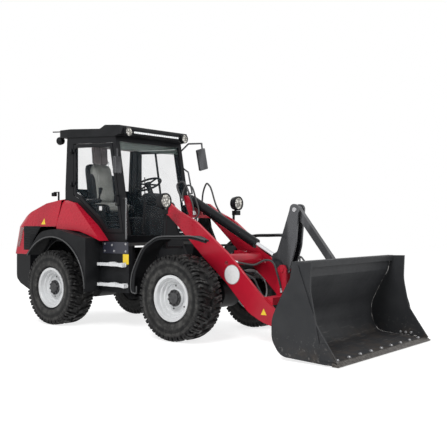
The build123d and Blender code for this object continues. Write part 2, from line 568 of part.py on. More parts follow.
SIDE_Y = BUCKET_Y - 10.0
bucket_outer = [
    (2791, 961), (2764, 800), (2694, 690, 300), (2545, 400, 300), (2545, 190, 200), (2650, 40, 150), (3150, 16), (3236, 16),
    (3236, 48), (EDGE_TIP_X - 24, 48), (3196, 176, 120), (3055, 380, 220), (2989, 699, 500), (3000, 965),
]
bucket_inner = [
    (2826, 1100), (2826, 960), (2800, 800), (2732, 684, 280), (2585, 402, 270), (2585, 208, 170), (2680, 66, 120), (3170, 48),
    (3500, 48), (3500, 1100),
]
filled_bucket = slab(bucket_outer, -SIDE_Y, SIDE_Y)
bucket = filled_bucket - slab(bucket_inner, -SIDE_Y + 22, SIDE_Y - 22)
bucket += slab([(2764, 900), (2791, 965), (2868, 965, 12), (2856, 900)], -BUCKET_Y + 20, BUCKET_Y - 20)
SIDE_CUTTER = [(3104, 56), (3104, 214, 20), (3170, 208, 30), (3274, 56)]
SIDE_RIB = [(2838, 930), (2862, 930), (3052, 420), (3098, 214), (3074, 214), (3030, 416)]
for points in (SIDE_CUTTER, SIDE_RIB):
    bucket += both(slab(points, SIDE_Y - 1, BUCKET_Y))
put("bucket", bucket)
put("coupler", coupler - filled_bucket)
put("cutting_edge", slab([(3236, 10), (3236, 48), (3262, 48), (EDGE_TIP_X, 20), (EDGE_TIP_X - 6, 10)], -BUCKET_Y, BUCKET_Y))
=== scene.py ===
"""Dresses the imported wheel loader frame: paint, glass, rubber, upholstery and small fittings.

The file is laid out as an add-on with one operator per piece or group of like pieces and is run as
a script.  Lengths are metres, +X points to the bucket, +Y to the driver's left, +Z up; at() and
path() take millimetres from the articulation pin and the ground.
"""
import json
import math

import bmesh
import bpy
import numpy as np
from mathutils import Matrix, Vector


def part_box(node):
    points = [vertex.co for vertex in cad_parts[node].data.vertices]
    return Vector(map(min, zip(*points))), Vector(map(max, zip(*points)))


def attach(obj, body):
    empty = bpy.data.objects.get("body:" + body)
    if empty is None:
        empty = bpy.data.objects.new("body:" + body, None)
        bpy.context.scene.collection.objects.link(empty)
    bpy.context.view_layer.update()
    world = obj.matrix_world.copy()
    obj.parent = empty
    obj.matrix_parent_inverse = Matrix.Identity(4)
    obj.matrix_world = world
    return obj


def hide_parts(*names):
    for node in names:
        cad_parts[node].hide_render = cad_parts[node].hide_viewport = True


bl_info = {
    "name": "Wheel loader dressing",
    "version": (1, 0, 0),
    "blender": (4, 5, 0),
    "location": "3D View > Sidebar > Loader",
    "description": "Finishes and fittings for a compact articulated wheel loader",
    "category": "Object",
}

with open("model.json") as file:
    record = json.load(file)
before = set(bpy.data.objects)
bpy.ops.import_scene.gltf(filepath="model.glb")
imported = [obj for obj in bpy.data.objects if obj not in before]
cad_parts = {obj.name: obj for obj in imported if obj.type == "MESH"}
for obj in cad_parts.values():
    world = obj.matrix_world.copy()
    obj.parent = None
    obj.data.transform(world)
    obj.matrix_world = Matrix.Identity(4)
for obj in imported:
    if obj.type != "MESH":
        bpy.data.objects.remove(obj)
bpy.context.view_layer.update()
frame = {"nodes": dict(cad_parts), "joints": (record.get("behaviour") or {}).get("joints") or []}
JOINTS = {joint["name"]: joint for joint in frame["joints"]}
SIDES = ((-1, "right"), (1, "left"))
WHEELS = {"front_left": 1, "front_right": -1, "rear_left": 1, "rear_right": -1}
ORIGIN, UP = (0, 0, 0), (0, 0, 1)
POINT = 1e-5


def pin(name):
    """Rest position of a hinge as an array."""
    return np.array(JOINTS[name]["pos_m"], float)


PIN_X = pin("steering")[0]
REAR_ARCH = pin("spin_rear_right")


def grid(x, y, z):
    """Points from numbers or grids of matching shapes, in metres."""
    return np.stack(np.broadcast_arrays(x, y, z), -1)


def at(x, y, z):
    """Points from millimetres measured from the articulation pin and the ground."""
    return grid(PIN_X + x / 1000, y / 1000, z / 1000)


def path(points, y=None):
    """Several such points; with y given, the points hold only x and z."""
    rows = np.array(points, float).T
    return at(*rows) if y is None else at(rows[0], y, rows[1])


def outline(points):
    """Such points as the X and Z of a flat plate."""
    return path(points, 0)[:, [0, 2]]


def slope(value, start, run):
    """0 before start, 1 beyond start + run, straight between; a negative run falls instead."""
    return np.clip((value - start) / run, 0, 1)


def spread(value, power):
    """Power that keeps the sign: sign(value) * |value| ** power."""
    return np.sign(value) * np.abs(value) ** power


def turns(steps, start=0.0):
    """Angles of one full turn in equal steps."""
    return np.linspace(0, 2 * math.pi, steps, endpoint=False) + start


# ---------------------------------------------------------------- surfaces
def weave(rows, cols, close_rows=False, close_cols=False):
    """Quads that join a grid of rows by cols points, wrapped round where asked."""
    i = np.arange(rows if close_rows else rows - 1)
    j = np.arange(cols if close_cols else cols - 1)
    a, b = np.meshgrid(i, j, indexing="ij")
    c, d = (a + 1) % rows, (b + 1) % cols
    return np.stack([a * cols + b, c * cols + b, c * cols + d, a * cols + d], -1).reshape(-1, 4)


def skin(points, **closed):
    """Surface through a grid of points."""
    return points.reshape(-1, 3), weave(*points.shape[:2], **closed)


def facing(points, way):
    """Open sheet over a grid, its quads flipped when their summed normals look away from way."""
    spots, faces = skin(points)
    a, b, d = (spots[faces[:, k]] for k in (0, 1, 3))
    return spots, faces if np.cross(b - a, d - a).sum(0) @ np.array(way, float) > 0 else faces[:, ::-1]


def unit(v):
    """Vectors scaled to length one along the last axis."""
    return v / np.maximum(np.linalg.norm(v, axis=-1, keepdims=True), 1e-12)


def basis(axis):
    """Two unit vectors square to an axis, so that first x second = axis."""
    axis = unit(np.array(axis, float))
    guide = np.array([0, 0, 1.0]) if abs(axis[2]) < 0.9 else np.array([1.0, 0, 0])
    first = unit(np.cross(guide, axis))
    return first, np.cross(axis, first), axis


def lathe(profile, centre, axis, steps=48):
    """Turned surface: point = centre + h * axis + r * (cos t * e1 + sin t * e2) for each (r, h)."""
    r, h = np.array(profile, float).T
    e1, e2, e3 = basis(axis)
    t = turns(steps)[:, None, None]
    around = np.cos(t) * e1 + np.sin(t) * e2
    return skin(np.array(centre, float) + h[:, None] * e3 + r[:, None] * around, close_rows=True)


def tube(line, radius, steps=12):
    """Round skin along a line: ring point = line + radius * (cos t * n + sin t * b), ends closed to a point."""
    line = np.array(line, float)
    run = unit(np.gradient(line, axis=0))
    guide = np.where(np.abs(run[:, 2:]) < 0.95, np.array([[0, 0, 1.0]]), np.array([[1.0, 0, 0]]))
    level = np.abs(run[:, 1:2]) < 0.98
    n = unit(np.cross(np.where(level, np.array([[0, 1.0, 0]]), guide), run))
    b = np.cross(run, n)
    width = np.concatenate([[POINT], np.full(len(line), radius, float), [POINT]])
    line, n, b = (np.concatenate([v[:1], v, v[-1:]]) for v in (line, n, b))
    t = turns(steps)[None, :, None]
    ring = np.cos(t) * n[:, None] + np.sin(t) * b[:, None]
    return skin(line[:, None] + width[:, None, None] * ring, close_cols=True)


def curve(stops, samples=40):
    """Smooth path through stops: cubic Hermite with slopes of half the chord between neighbours."""
    p = np.array(stops, float)
    ends = np.concatenate([2 * p[:1] - p[1:2], p, 2 * p[-1:] - p[-2:-1]])
    m = (ends[2:] - ends[:-2]) / 2
    u = np.linspace(0, len(p) - 1 - 1e-9, samples)
    k = u.astype(int)
    s = (u - k)[:, None]
    first = (2 * s**3 - 3 * s**2 + 1) * p[k] + (s**3 - 2 * s**2 + s) * m[k]
    return first + (3 * s**2 - 2 * s**3) * p[k + 1] + (s**3 - s**2) * m[k + 1]


def pillow(centre, half, power=(0.35, 0.35), steps=(48, 32), tilt=0.0):
    """Superellipsoid: half * sign(c) * |c| ** power of the sphere's sines and cosines, tilted about Y."""
    u = np.linspace(-math.pi, math.pi, steps[0], endpoint=False)[:, None]
    v = np.linspace(-math.pi / 2, math.pi / 2, steps[1])[None, :]
    belt = spread(np.cos(v), power[1])
    points = grid(belt * spread(np.cos(u), power[0]), belt * spread(np.sin(u), power[0]), spread(np.sin(v), power[1]))
    c, s = math.cos(tilt), math.sin(tilt)
    points = points * np.array(half, float) @ np.array([[c, 0, -s], [0, 1, 0], [s, 0, c]])
    return skin(points + np.array(centre, float), close_rows=True)


def slab(low, high, bevel=0.003):
    """Block with broken edges: four eight-cornered rings up its height, the outer two drawn in by the bevel."""
    low, high = np.array(low, float), np.array(high, float)
    mid, half = (low + high) / 2, (high - low) / 2
    bevel = min(bevel, half.min() * 0.9)
    signs = np.array([[1, 1], [-1, 1], [-1, -1], [1, -1]], float)
    ring = []
    for (ox, oy), (ix, iy) in zip(signs * half[:2], signs * (half[:2] - bevel)):
        pair = [(ox, iy), (ix, oy)]
        ring += pair if ox * oy > 0 else pair[::-1]
    ring = np.array(ring)
    small = ring * (1 - bevel / np.maximum(half[:2], 1e-9))
    levels = ((-half[2], small), (-half[2] + bevel, ring), (half[2] - bevel, ring), (half[2], small))
    stack = np.array([[(x, y, z) for x, y in flat] for z, flat in levels])
    caps = [tuple(range(8))[::-1], tuple(range(24, 32))]
    return stack.reshape(-1, 3) + mid, [tuple(q) for q in weave(4, 8, close_cols=True)[:, ::-1]] + caps


def slabs(*blocks):
    """Several slabs in one part, each from two corners in millimetres and a bevel."""
    return joined([slab(at(*low), at(*high), bevel) for low, high, bevel in blocks])


def joined(parts):
    """One set of points and faces out of many."""
    points, faces, start = [], [], 0
    for p, f in parts:
        points.append(p)
        faces += [tuple(int(k) + start for k in face) for face in f]
        start += len(p)
    return np.concatenate(points), faces


def repeated(part, places, direction=UP):
    """The part, drawn at the origin along +Z, copied to each place with its Z along the direction or directions."""
    p, f = part
    places = np.array(places, float)
    frames = np.array([basis(d) for d in np.broadcast_to(np.array(direction, float), places.shape)])
    points = places[:, None] + np.einsum("pk,nkj->npj", p, frames)
    return points.reshape(-1, 3), [tuple(int(k) + i * len(p) for k in face) for i in range(len(places)) for face in f]


def hex_bolt(radius, height):
    """Hexagon head on a washer, standing on the plane z = 0."""
    washer = [(POINT, 0), (radius * 1.35, 0), (radius * 1.35, height * 0.2), (radius, height * 0.2)]
    head = [(radius, height * 0.2), (radius, height * 0.85), (radius * 0.86, height), (POINT, height)]
    return joined([lathe(washer, ORIGIN, UP, 16), lathe(head, ORIGIN, UP, 6)])


def pin_cap(inner, rim, thick, shoulder, centre, side):
    """Chamfered round cap on the end of a pin that points to one side."""
    return lathe([(POINT, thick), (inner, thick), (rim, shoulder), (rim, 0.0)], centre, (0, side, 0), 32)


def plate(edge, y, side=-1, thick=0.003):
    """Thin plate standing in X and Z: the edge, in X and Z, at y and again at y + side * thick."""
    x, z = np.array(edge, float).T
    n = len(x)
    area = np.sum(x * np.roll(z, -1) - np.roll(x, -1) * z)
    near, far = tuple(range(n)), tuple(range(n, 2 * n))
    faces = [near[::-1], far] + [(i, (i + 1) % n, n + (i + 1) % n, n + i) for i in range(n)]
    if (area > 0) == (side > 0):
        faces = [face[::-1] for face in faces]
    return np.concatenate([grid(x, y, z), grid(x, y + side * thick, z)]), faces


def disc(x, z, radius, steps=48):
    """Round edge in X and Z: x + radius * cos t, z + radius * sin t."""
    t = turns(steps)
    return np.stack([x + radius * np.cos(t), z + radius * np.sin(t)], -1)


def mirrored(part):
    """The part and its mirror image across the centre plane."""
    p, f = part
    return joined([(p, f), (p * np.array([1, -1, 1]), [tuple(face)[::-1] for face in f])])


def piece(name, part, body, kind, smooth=40):
    """Makes the mesh object, gives it its finish and lets it ride on its body."""
    points, faces = part
    mesh = bpy.data.meshes.new(name)
    mesh.from_pydata(np.asarray(points, float).tolist(), [], [tuple(int(k) for k in face) for face in faces])
    mesh.update()
    mesh.shade_smooth()
    mesh.set_sharp_from_angle(angle=math.radians(smooth))
    mesh.materials.append(finish(kind))
    obj = bpy.data.objects.new(name, mesh)
    bpy.context.scene.collection.objects.link(obj)
    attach(obj, body)
    return obj


def thicken(obj, wall):
    """Gives an open skin its wall, inwards."""
    solid = obj.modifiers.new("wall", "SOLIDIFY")
    solid.thickness, solid.offset = wall, -1


def inflate(obj, cap, voxel=0.008, pressure=4.0, frames=20):
    """Puffs a closed pad by a short cloth run and keeps every point within cap of where it began."""
    deps = bpy.context.evaluated_depsgraph_get
    first = obj.modifiers.new("remesh", "REMESH")
    first.mode = "VOXEL"
    first.voxel_size = voxel
    solid = bpy.data.meshes.new_from_object(obj.evaluated_get(deps()))
    obj.modifiers.clear()
    obj.data = solid
    start = np.empty(len(solid.vertices) * 3)
    solid.vertices.foreach_get("co", start)
    start = start.reshape(-1, 3)
    cloth = obj.modifiers.new("cloth", "CLOTH")
    cloth.settings.use_pressure = True
    cloth.settings.uniform_pressure_force = pressure
    cloth.settings.effector_weights.gravity = 0
    cloth.point_cache.frame_start, cloth.point_cache.frame_end = 1, frames
    for number in range(1, frames + 1):
        bpy.context.scene.frame_set(number)
    blown = obj.evaluated_get(deps()).to_mesh()
    end = np.empty(len(blown.vertices) * 3)
    blown.vertices.foreach_get("co", end)
    move = end.reshape(-1, 3) - start
    reach = np.linalg.norm(move, axis=1, keepdims=True)
    start = start + move * np.minimum(1, cap / np.maximum(reach, 1e-9))
    obj.modifiers.clear()
    bpy.context.scene.frame_set(1)
    solid.vertices.foreach_set("co", start.ravel())
    solid.update()
    solid.shade_smooth()
    return start


# ---------------------------------------------------------------- shader expressions
def arithmetic(operation, swapped=False):
    """Method that joins signals by one Math node."""
    def method(self, *others):
        values = (self, *others)[::-1 if swapped else 1]
        return self.graph.add("ShaderNodeMath", {"operation": operation}, dict(enumerate(values)))
    return method


class Signal:
    """A shader socket that takes part in arithmetic and adds its nodes as it goes."""
    __add__ = __radd__ = arithmetic("ADD")
    __mul__ = __rmul__ = arithmetic("MULTIPLY")
    __sub__, __rsub__ = arithmetic("SUBTRACT"), arithmetic("SUBTRACT", True)
    wave = arithmetic("SINE")

    def __init__(self, graph, socket):
        self.graph, self.socket = graph, socket

    def ramp(self, start, end):
        """0 up to start, 1 from end on, eased between."""
        return self.graph.add(
            "ShaderNodeMapRange", {"interpolation_type": "SMOOTHSTEP"},
            {"Value": self, "From Min": start, "From Max": end, "To Min": 0.0, "To Max": 1.0})


class Graph:
    """Node tree of one material around a Principled shader."""

    def __init__(self, name, **fixed):
        self.material = bpy.data.materials.new(name)
        self.material.use_nodes = True
        self.tree = self.material.node_tree
        self.shader = self.tree.nodes["Principled BSDF"]
        for socket, value in fixed.items():
            self.shader.inputs[socket.replace("_", " ")].default_value = value
        where = self.tree.nodes.new("ShaderNodeTexCoord")
        self.place = Signal(self, where.outputs["Object"])
        parts = self.tree.nodes.new("ShaderNodeSeparateXYZ")
        self.tree.links.new(where.outputs["Object"], parts.inputs[0])
        self.x, self.y, self.z = (Signal(self, parts.outputs[k]) for k in range(3))

    def add(self, kind, settings, values, output=0):
        """Adds a node: settings first, then the values or links of its sockets."""
        node = self.tree.nodes.new(kind)
        for key, value in settings.items():
            setattr(node, key, value)
        for key, value in values.items():
            if isinstance(value, Signal):
                self.tree.links.new(value.socket, node.inputs[key])
            else:
                node.inputs[key].default_value = value
        return Signal(self, node.outputs[output])

    def stored(self, name):
        """A number kept on the mesh's points."""
        return self.add("ShaderNodeAttribute", {"attribute_name": name}, {}, 2)

    def noise(self, scale, detail=3.0, rough=0.5, stretch=None):
        """Cloudy pattern from 0 to 1 on Object coordinates."""
        where = self.place
        if stretch:
            where = self.add("ShaderNodeMapping", {}, {"Vector": where, "Scale": stretch})
        values = {"Vector": where, "Scale": scale, "Detail": detail, "Roughness": rough}
        return self.add("ShaderNodeTexNoise", {}, values)

    def cells(self, scale):
        """Distance to scattered points."""
        return self.add("ShaderNodeTexVoronoi", {"feature": "F1"}, {"Vector": self.place, "Scale": scale})

    def mix(self, factor, first, second):
        """Colour between first and second."""
        first, second = (c if isinstance(c, Signal) else (*c, 1) for c in (first, second))
        settings = {"data_type": "RGBA", "clamp_factor": True}
        return self.add("ShaderNodeMix", settings, {0: factor, 6: first, 7: second}, 2)

    def feed(self, socket, signal):
        self.tree.links.new(signal.socket, self.shader.inputs[socket])

    def surface(self, colours, rough, grain=None):
        """Feeds colour by mix(*colours), roughness, and bump by a grain of height, strength and distance."""
        self.feed("Base Color", self.mix(*colours))
        self.feed("Roughness", rough)
        if grain:
            values = dict(zip(("Height", "Strength", "Distance"), grain))
            self.feed("Normal", self.add("ShaderNodeBump", {}, values))


# ---------------------------------------------------------------- finishes
MAKERS, FINISHES = {}, {}


def fills(slot, **fixed):
    """Lists a maker under its own name, with the slot that its pieces fill and the shader's fixed inputs."""
    def note(maker):
        MAKERS[maker.__name__] = (maker, slot, fixed)
        return maker
    return note


def finish(name):
    """Named material, made once."""
    if name not in FINISHES:
        maker, _, fixed = MAKERS[name]
        graph = Graph(name, **fixed)
        maker(graph)
        FINISHES[name] = graph.material
    return FINISHES[name]


def shaded(colour, factor):
    return tuple(c * factor for c in colour)


def enamel(g, colour, rough, dusty=0.08):
    """Sprayed enamel: orange peel, faint clouding and a dry film of dust that thins with height."""
    dust = g.noise(9, 5) * (1 - g.z.ramp(0.15, 1.6))
    base = g.mix(g.noise(2.2, 4).ramp(0.35, 0.75), tuple(colour), shaded(colour, 0.82))
    g.surface((dust * dusty, base, (0.20, 0.18, 0.16)), rough + 0.10 * g.noise(26, 3) + 0.22 * dust,
              (g.noise(420, 1), 0.05, 0.0006))


@fills("red_paint", Coat_Weight=0.12, Coat_Roughness=0.12, Specular_IOR_Level=0.25)
def red_enamel(g):
    enamel(g, bpy.context.scene.loader_paint.body, 0.22, 0.02)


@fills("black_paint", Coat_Weight=0.0, Coat_Roughness=0.12, Specular_IOR_Level=0.16)
def black_enamel(g):
    enamel(g, bpy.context.scene.loader_paint.frame, 0.30, 0.03)


@fills("rim_silver", Coat_Weight=0.15, Coat_Roughness=0.12, Specular_IOR_Level=0.5)
def rim_enamel(g):
    enamel(g, bpy.context.scene.loader_paint.rim, 0.34)


@fills("black_paint", Coat_Weight=0.3, Coat_Roughness=0.12, Specular_IOR_Level=0.5)
def blue_black(g):
    """Semi-gloss dark blue-black plate paint."""
    enamel(g, (0.012, 0.014, 0.028), 0.30)


@fills("black_paint", Coat_Weight=0.15, Specular_IOR_Level=0.4)
def lever_enamel(g):
    """Glossy dark paint of the lever, link and mirrors, with painted highlight in soft upright bands, lighter and
    more metallic.
    """
    # Painted highlight: soft upright bands made lighter and more metallic.
    painted_highlight_bands = g.noise(3.2, 2, 0.5, (1.6, 1.0, 0.35)).ramp(0.48, 0.66)
    g.surface((painted_highlight_bands, (0.014, 0.015, 0.018), (0.10, 0.102, 0.108)), 0.20 + 0.12 * g.noise(30, 3),
              (g.noise(420, 1), 0.04, 0.0006))
    g.feed("Metallic", painted_highlight_bands * 0.8)


@fills("step_white")
def step_enamel(g):
    """White paint with a raised diamond grid on the steps; the grab rails above them are dark chrome."""
    scuff, rail = g.noise(34, 5).ramp(0.5, 0.72), g.z.ramp(1.04, 1.06)
    paint = g.mix(scuff * 0.35, (0.70, 0.71, 0.72), (0.36, 0.36, 0.36))
    ridge = ((g.x + g.y) * 190).wave() * ((g.x - g.y) * 190).wave()
    g.surface((rail, paint, (0.20, 0.205, 0.21)), 0.38 + 0.3 * scuff - rail * 0.24,
              (ridge.ramp(0.2, 0.9), 0.5, 0.002))
    g.feed("Metallic", rail * 0.9)


@fills("bucket_grey", Specular_IOR_Level=0.22)
def bucket_enamel(g):
    """Dark enamel that is scratched through to steel near the edge and floor, with dried earth low down."""
    wear = g.noise(30, 6, 0.62, (1.0, 0.12, 1.0)).ramp(0.56, 0.7) * (1 - g.z.ramp(0.02, 0.35))
    colour = tuple(bpy.context.scene.loader_paint.bucket)
    tone = g.mix(g.noise(3, 5).ramp(0.3, 0.8), colour, (0.017, 0.018, 0.020))
    earth = g.noise(7, 6, 0.65).ramp(0.42, 0.7) * (1 - g.z.ramp(0.03, 0.22))
    tone = g.mix(earth * 0.5, tone, (0.075, 0.058, 0.045))
    g.surface((wear * 0.5, tone, (0.22, 0.21, 0.20)), 0.42 + 0.2 * g.noise(18, 4) - 0.1 * wear,
              (g.noise(300, 2), 0.08, 0.0008))
    g.feed("Metallic", wear * 0.6)


@fills("edge_steel", Metallic=0.85)
def edge_steel(g):
    """Bare rolled steel with streaks along the edge."""
    streak = g.noise(60, 5, 0.6, (0.3, 1.0, 1.0))
    g.surface((streak.ramp(0.35, 0.7), (0.045, 0.040, 0.036), (0.16, 0.15, 0.14)), 0.34 + 0.3 * streak,
              (streak, 0.15, 0.0008))


@fills("edge_steel", Metallic=0.7)
def weld_steel(g):
    """Weld bead worn bright in patches."""
    g.surface((g.noise(14, 4).ramp(0.42, 0.62), (0.03, 0.03, 0.032), (0.42, 0.41, 0.40)),
              0.36 + 0.1 * g.noise(60, 3), ((g.x * 900).wave(), 0.3, 0.0008))


@fills("edge_steel", Metallic=0.9)
def zinc(g):
    """Plated fastener metal with a dull bloom."""
    g.surface((g.noise(90, 4).ramp(0.3, 0.8), (0.42, 0.42, 0.43), (0.60, 0.60, 0.61)), 0.32 + 0.2 * g.noise(70, 3))


@fills("rod_chrome", Metallic=1.0)
def polished(g):
    """Hard chrome with fine hone marks."""
    hone = g.noise(900, 2)
    g.surface((g.noise(8, 3), (0.62, 0.63, 0.65), (0.74, 0.75, 0.77)), 0.12 + 0.1 * hone, (hone, 0.05, 0.0002))


@fills("black_plastic", Specular_IOR_Level=0.16)
def moulded_black(g):
    """Textured injection-moulded plastic with a fine pebble grain."""
    g.surface((g.noise(5, 4).ramp(0.3, 0.8), (0.006, 0.0065, 0.0075), (0.013, 0.0135, 0.015)),
              0.48 + 0.14 * g.noise(40, 3), (g.cells(620), 0.22, 0.0006))


@fills("black_plastic")
def lip_rubber_painted_highlight(g):
    """Satin rubber bead along a fender's edge, in a grey lighter than the fender plastic that is painted highlight
    along the lip.
    """
    # Painted highlight: the bead's grey is lighter than the fender plastic.
    g.surface((g.noise(30, 3), (0.030, 0.031, 0.033), (0.055, 0.056, 0.058)), 0.30 + 0.12 * g.noise(40, 3),
              (g.noise(300, 2), 0.08, 0.0005))


@fills("tyre_rubber", Specular_IOR_Level=0.16)
def rubber(g):
    """Tyre rubber: cloudy dust, two paler rings on the sidewall that are painted highlight flecked by the dust, and
    paler lug tops that are partly wear and partly painted highlight; the grooves between them keep the dark rubber
    colour.
    """
    radius, lug = g.stored("wheel_radius"), g.stored("lug")
    dust = g.noise(16, 6, 0.6).ramp(0.38, 0.75)
    # Two paler rings round the sidewall: painted highlight, stronger where the dust lies.
    rings = radius.ramp(0.278, 0.300) * (1 - radius.ramp(0.335, 0.365))
    rings = rings + 0.8 * radius.ramp(0.385, 0.400) * (1 - radius.ramp(0.415, 0.440))
    # Paler lug tops: partly wear, partly painted highlight.
    lug_wear_and_highlight = lug * g.noise(22, 5, 0.6).ramp(0.50, 0.66)
    groove = g.mix(dust * 0.35 + rings * (0.25 + 0.55 * dust), (0.004, 0.004, 0.0045), (0.070, 0.069, 0.066))
    g.surface((lug_wear_and_highlight * 0.6, groove, (0.085, 0.084, 0.082)), 0.46 + 0.3 * dust - 0.12 * lug_wear_and_highlight,
              (g.noise(240, 4), 0.25, 0.001))


@fills("black_plastic")
def hose_rubber(g):
    """Braid-wrapped hose cover: fine diagonal ribs."""
    braid = ((g.x + g.z) * 900).wave() * ((g.x - g.z) * 900).wave()
    g.surface((g.noise(50, 3), (0.018, 0.018, 0.019), (0.032, 0.032, 0.033)), 0.5 + 0.15 * g.noise(80, 2),
              (braid, 0.2, 0.0004))


@fills("black_plastic")
def mat_rubber(g):
    """Ribbed floor rubber."""
    g.surface((g.noise(20, 4), (0.025, 0.025, 0.026), (0.05, 0.048, 0.046)), 0.75 + 0.1 * g.noise(30, 3),
              ((g.y * 420).wave(), 0.5, 0.002))


@fills("glazing", Metallic=0.0, IOR=1.5)
def glazing(g):
    """Toughened cab glass with a faint green-blue tint."""
    smear = g.noise(4, 5).ramp(0.4, 0.8)
    g.surface((smear, (0.04, 0.07, 0.09), (0.08, 0.11, 0.13)), 0.03 + 0.03 * smear)
    g.feed("Alpha", 0.045 + 0.02 * smear)


@fills("glazing")
def sun_film(g):
    """Green-tinted sun band across the top of the windscreen."""
    g.surface((g.noise(5, 3), (0.10, 0.15, 0.13), (0.13, 0.18, 0.155)), 0.10 + 0.04 * g.noise(20, 2))
    g.feed("Alpha", 0.34 + 0.05 * g.noise(6, 3))


@fills("seat_cover", Sheen_Weight=0.2, Sheen_Roughness=0.5)
def seat_cover(g):
    """Grey upholstery: fine cross weave and slight fading in random patches."""
    fade = g.noise(5, 4).ramp(0.3, 0.75)
    thread = (g.y * 2600).wave() * (g.z * 2600).wave() + 0.4 * (g.x * 2600).wave()
    g.surface((fade, (0.15, 0.155, 0.14), (0.26, 0.265, 0.245)), 0.46 + 0.14 * fade, (thread, 0.18, 0.0005))


@fills("seat_cover", Sheen_Weight=0.4, Sheen_Roughness=0.5)
def head_cover(g):
    """Taupe cloth of the head cushion."""
    g.surface((g.noise(9, 4).ramp(0.3, 0.75), (0.17, 0.145, 0.145), (0.25, 0.215, 0.215)),
              0.74 + 0.1 * g.noise(30, 3), ((g.y * 2200).wave() * (g.z * 2200).wave(), 0.2, 0.0005))


@fills("seat_cover")
def lining_cloth(g):
    """Pale grey headliner felt."""
    g.surface((g.noise(30, 5), (0.30, 0.31, 0.31), (0.40, 0.41, 0.41)), 0.85 + 0.08 * g.noise(60, 2),
              (g.noise(500, 2), 0.3, 0.0006))


@fills("lamp_lens", IOR=1.49)
def lens(g):
    """Moulded lamp lens with fine vertical flutes."""
    tint = (0.80, 0.82, 0.82)
    g.surface((g.noise(12, 2), tint, shaded(tint, 0.85)), 0.05 + 0.04 * g.noise(50, 2),
              ((g.y * 700).wave(), 0.25, 0.001))
    g.feed("Alpha", 0.14 + 0.05 * g.noise(30, 2))


@fills("lamp_lens")
def light_strip(g):
    """Frosted strip with rows of diodes behind it."""
    rows = (g.y * 150).wave().ramp(-0.2, 0.6)
    g.surface((rows, (0.72, 0.74, 0.76), (0.95, 0.96, 0.97)), 0.22 + 0.06 * g.noise(30, 2))


@fills("lamp_lens")
def tail_lens(g):
    """Clear outer lens over grey and red reflex cells."""
    g.surface((g.cells(160).ramp(0.2, 0.6), (0.34, 0.32, 0.32), (0.20, 0.03, 0.03)), 0.12 + 0.05 * g.noise(40, 2),
              (g.cells(160), 0.3, 0.001))


@fills("lamp_lens", Metallic=1.0)
def reflector(g):
    """Bright faceted lamp bowl with dark gaps between the facets."""
    facet = g.cells(34).ramp(0.30, 0.55)
    g.surface((facet, (0.86, 0.83, 0.76), (0.13, 0.12, 0.10)), 0.12 + 0.2 * facet, (g.cells(90), 0.5, 0.002))


def sticker(g, colour):
    """Printed vinyl: a plain field, a little satin, with lifted grain."""
    g.surface((g.noise(30, 3).ramp(0.3, 0.8), colour, shaded(colour, 0.92)), 0.34 + 0.1 * g.noise(60, 2),
              (g.noise(200, 2), 0.05, 0.0003))


@fills("step_white")
def white_sticker(g):
    sticker(g, (0.82, 0.82, 0.82))


@fills("step_white")
def yellow_sticker(g):
    sticker(g, (0.85, 0.60, 0.03))


@fills("step_white")
def grey_sticker(g):
    sticker(g, (0.30, 0.30, 0.31))


@fills("black_paint")
def hub_enamel(g):
    """Dark cast hub under thin paint."""
    g.surface((g.noise(40, 5).ramp(0.35, 0.75), (0.022, 0.022, 0.024), (0.050, 0.050, 0.052)),
              0.45 + 0.2 * g.noise(30, 3), (g.noise(160, 4), 0.3, 0.001))


NODE_FINISH = {
    "red_enamel": ("side_panels", "engine_hood", "boom"),
    "black_enamel": (
        "rear_chassis", "rear_axle", "front_chassis", "front_axle", "cab_frame", "rear_cowl", "tilt_barrel",
        "lift_barrels", "steer_barrel", "door_left", "door_right", "counterweight", "coupler", "engine_block"),
    "moulded_black": (
        "rear_fenders", "front_fenders", "side_boxes", "cab_roof", "steering_column", "hood_grille", "headlamps",
        "body_lamps"),
    "lever_enamel": ("lever", "link", "mirrors"),
    "mat_rubber": ("cab_floor",),
    "step_enamel": ("steps_rails",),
    "glazing": ("cab_glass", "door_glass_left", "door_glass_right"),
    "polished": ("lift_rods", "tilt_rod", "steer_rod"),
    "bucket_enamel": ("bucket",),
    "edge_steel": ("cutting_edge",),
    "tail_lens": ("tail_lamps",),
    "seat_cover": ("seat",),
    "rubber": tuple("tyre_" + w for w in WHEELS),
    "rim_enamel": tuple("rim_" + w for w in WHEELS),
}


# ---------------------------------------------------------------- settings
def enamel_colour(name, description, default):
    return bpy.props.FloatVectorProperty(
        name=name, description=description, subtype="COLOR", size=3, default=default, min=0, max=1)


class LoaderPaint(bpy.types.PropertyGroup):
    """Colours of the machine."""
    body: enamel_colour("Body", "Enamel of hood, panels and boom", (0.44, 0.008, 0.026))
    frame: enamel_colour("Frame", "Enamel of frames, cab and axles", (0.0055, 0.006, 0.0075))
    bucket: enamel_colour("Bucket", "Enamel of the bucket", (0.027, 0.028, 0.030))
    rim: enamel_colour("Rim", "Enamel of the wheel discs", (0.66, 0.67, 0.68))


class LoaderSizes(bpy.types.PropertyGroup):
    """Sizes of fittings."""
    hose: bpy.props.FloatProperty(
        name="Line radius", description="Radius of the hydraulic lines", default=0.011, min=0.004, max=0.03,
        unit="LENGTH")
    wheel_bolts: bpy.props.IntProperty(
        name="Wheel bolts", description="Bolts round each hub", default=10, min=4, max=16)


class LoaderOperator(bpy.types.Operator):
    """Shared base of the loader's operators."""
    bl_options = {"REGISTER", "UNDO"}

    def execute(self, context):
        self.build(context.scene.loader_paint, context.scene.loader_sizes)
        return {"FINISHED"}


# ---------------------------------------------------------------- operators
class LOADER_OT_paint_frame(LoaderOperator):
    """Gives every carried-over node its finish."""
    bl_idname = "loader.paint_frame"
    bl_label = "Paint the frame"

    def build(self, paint, sizes):
        for kind, nodes in NODE_FINISH.items():
            for node in nodes:
                obj = frame["nodes"][node]
                obj.data.materials.clear()
                obj.data.materials.append(finish(kind))


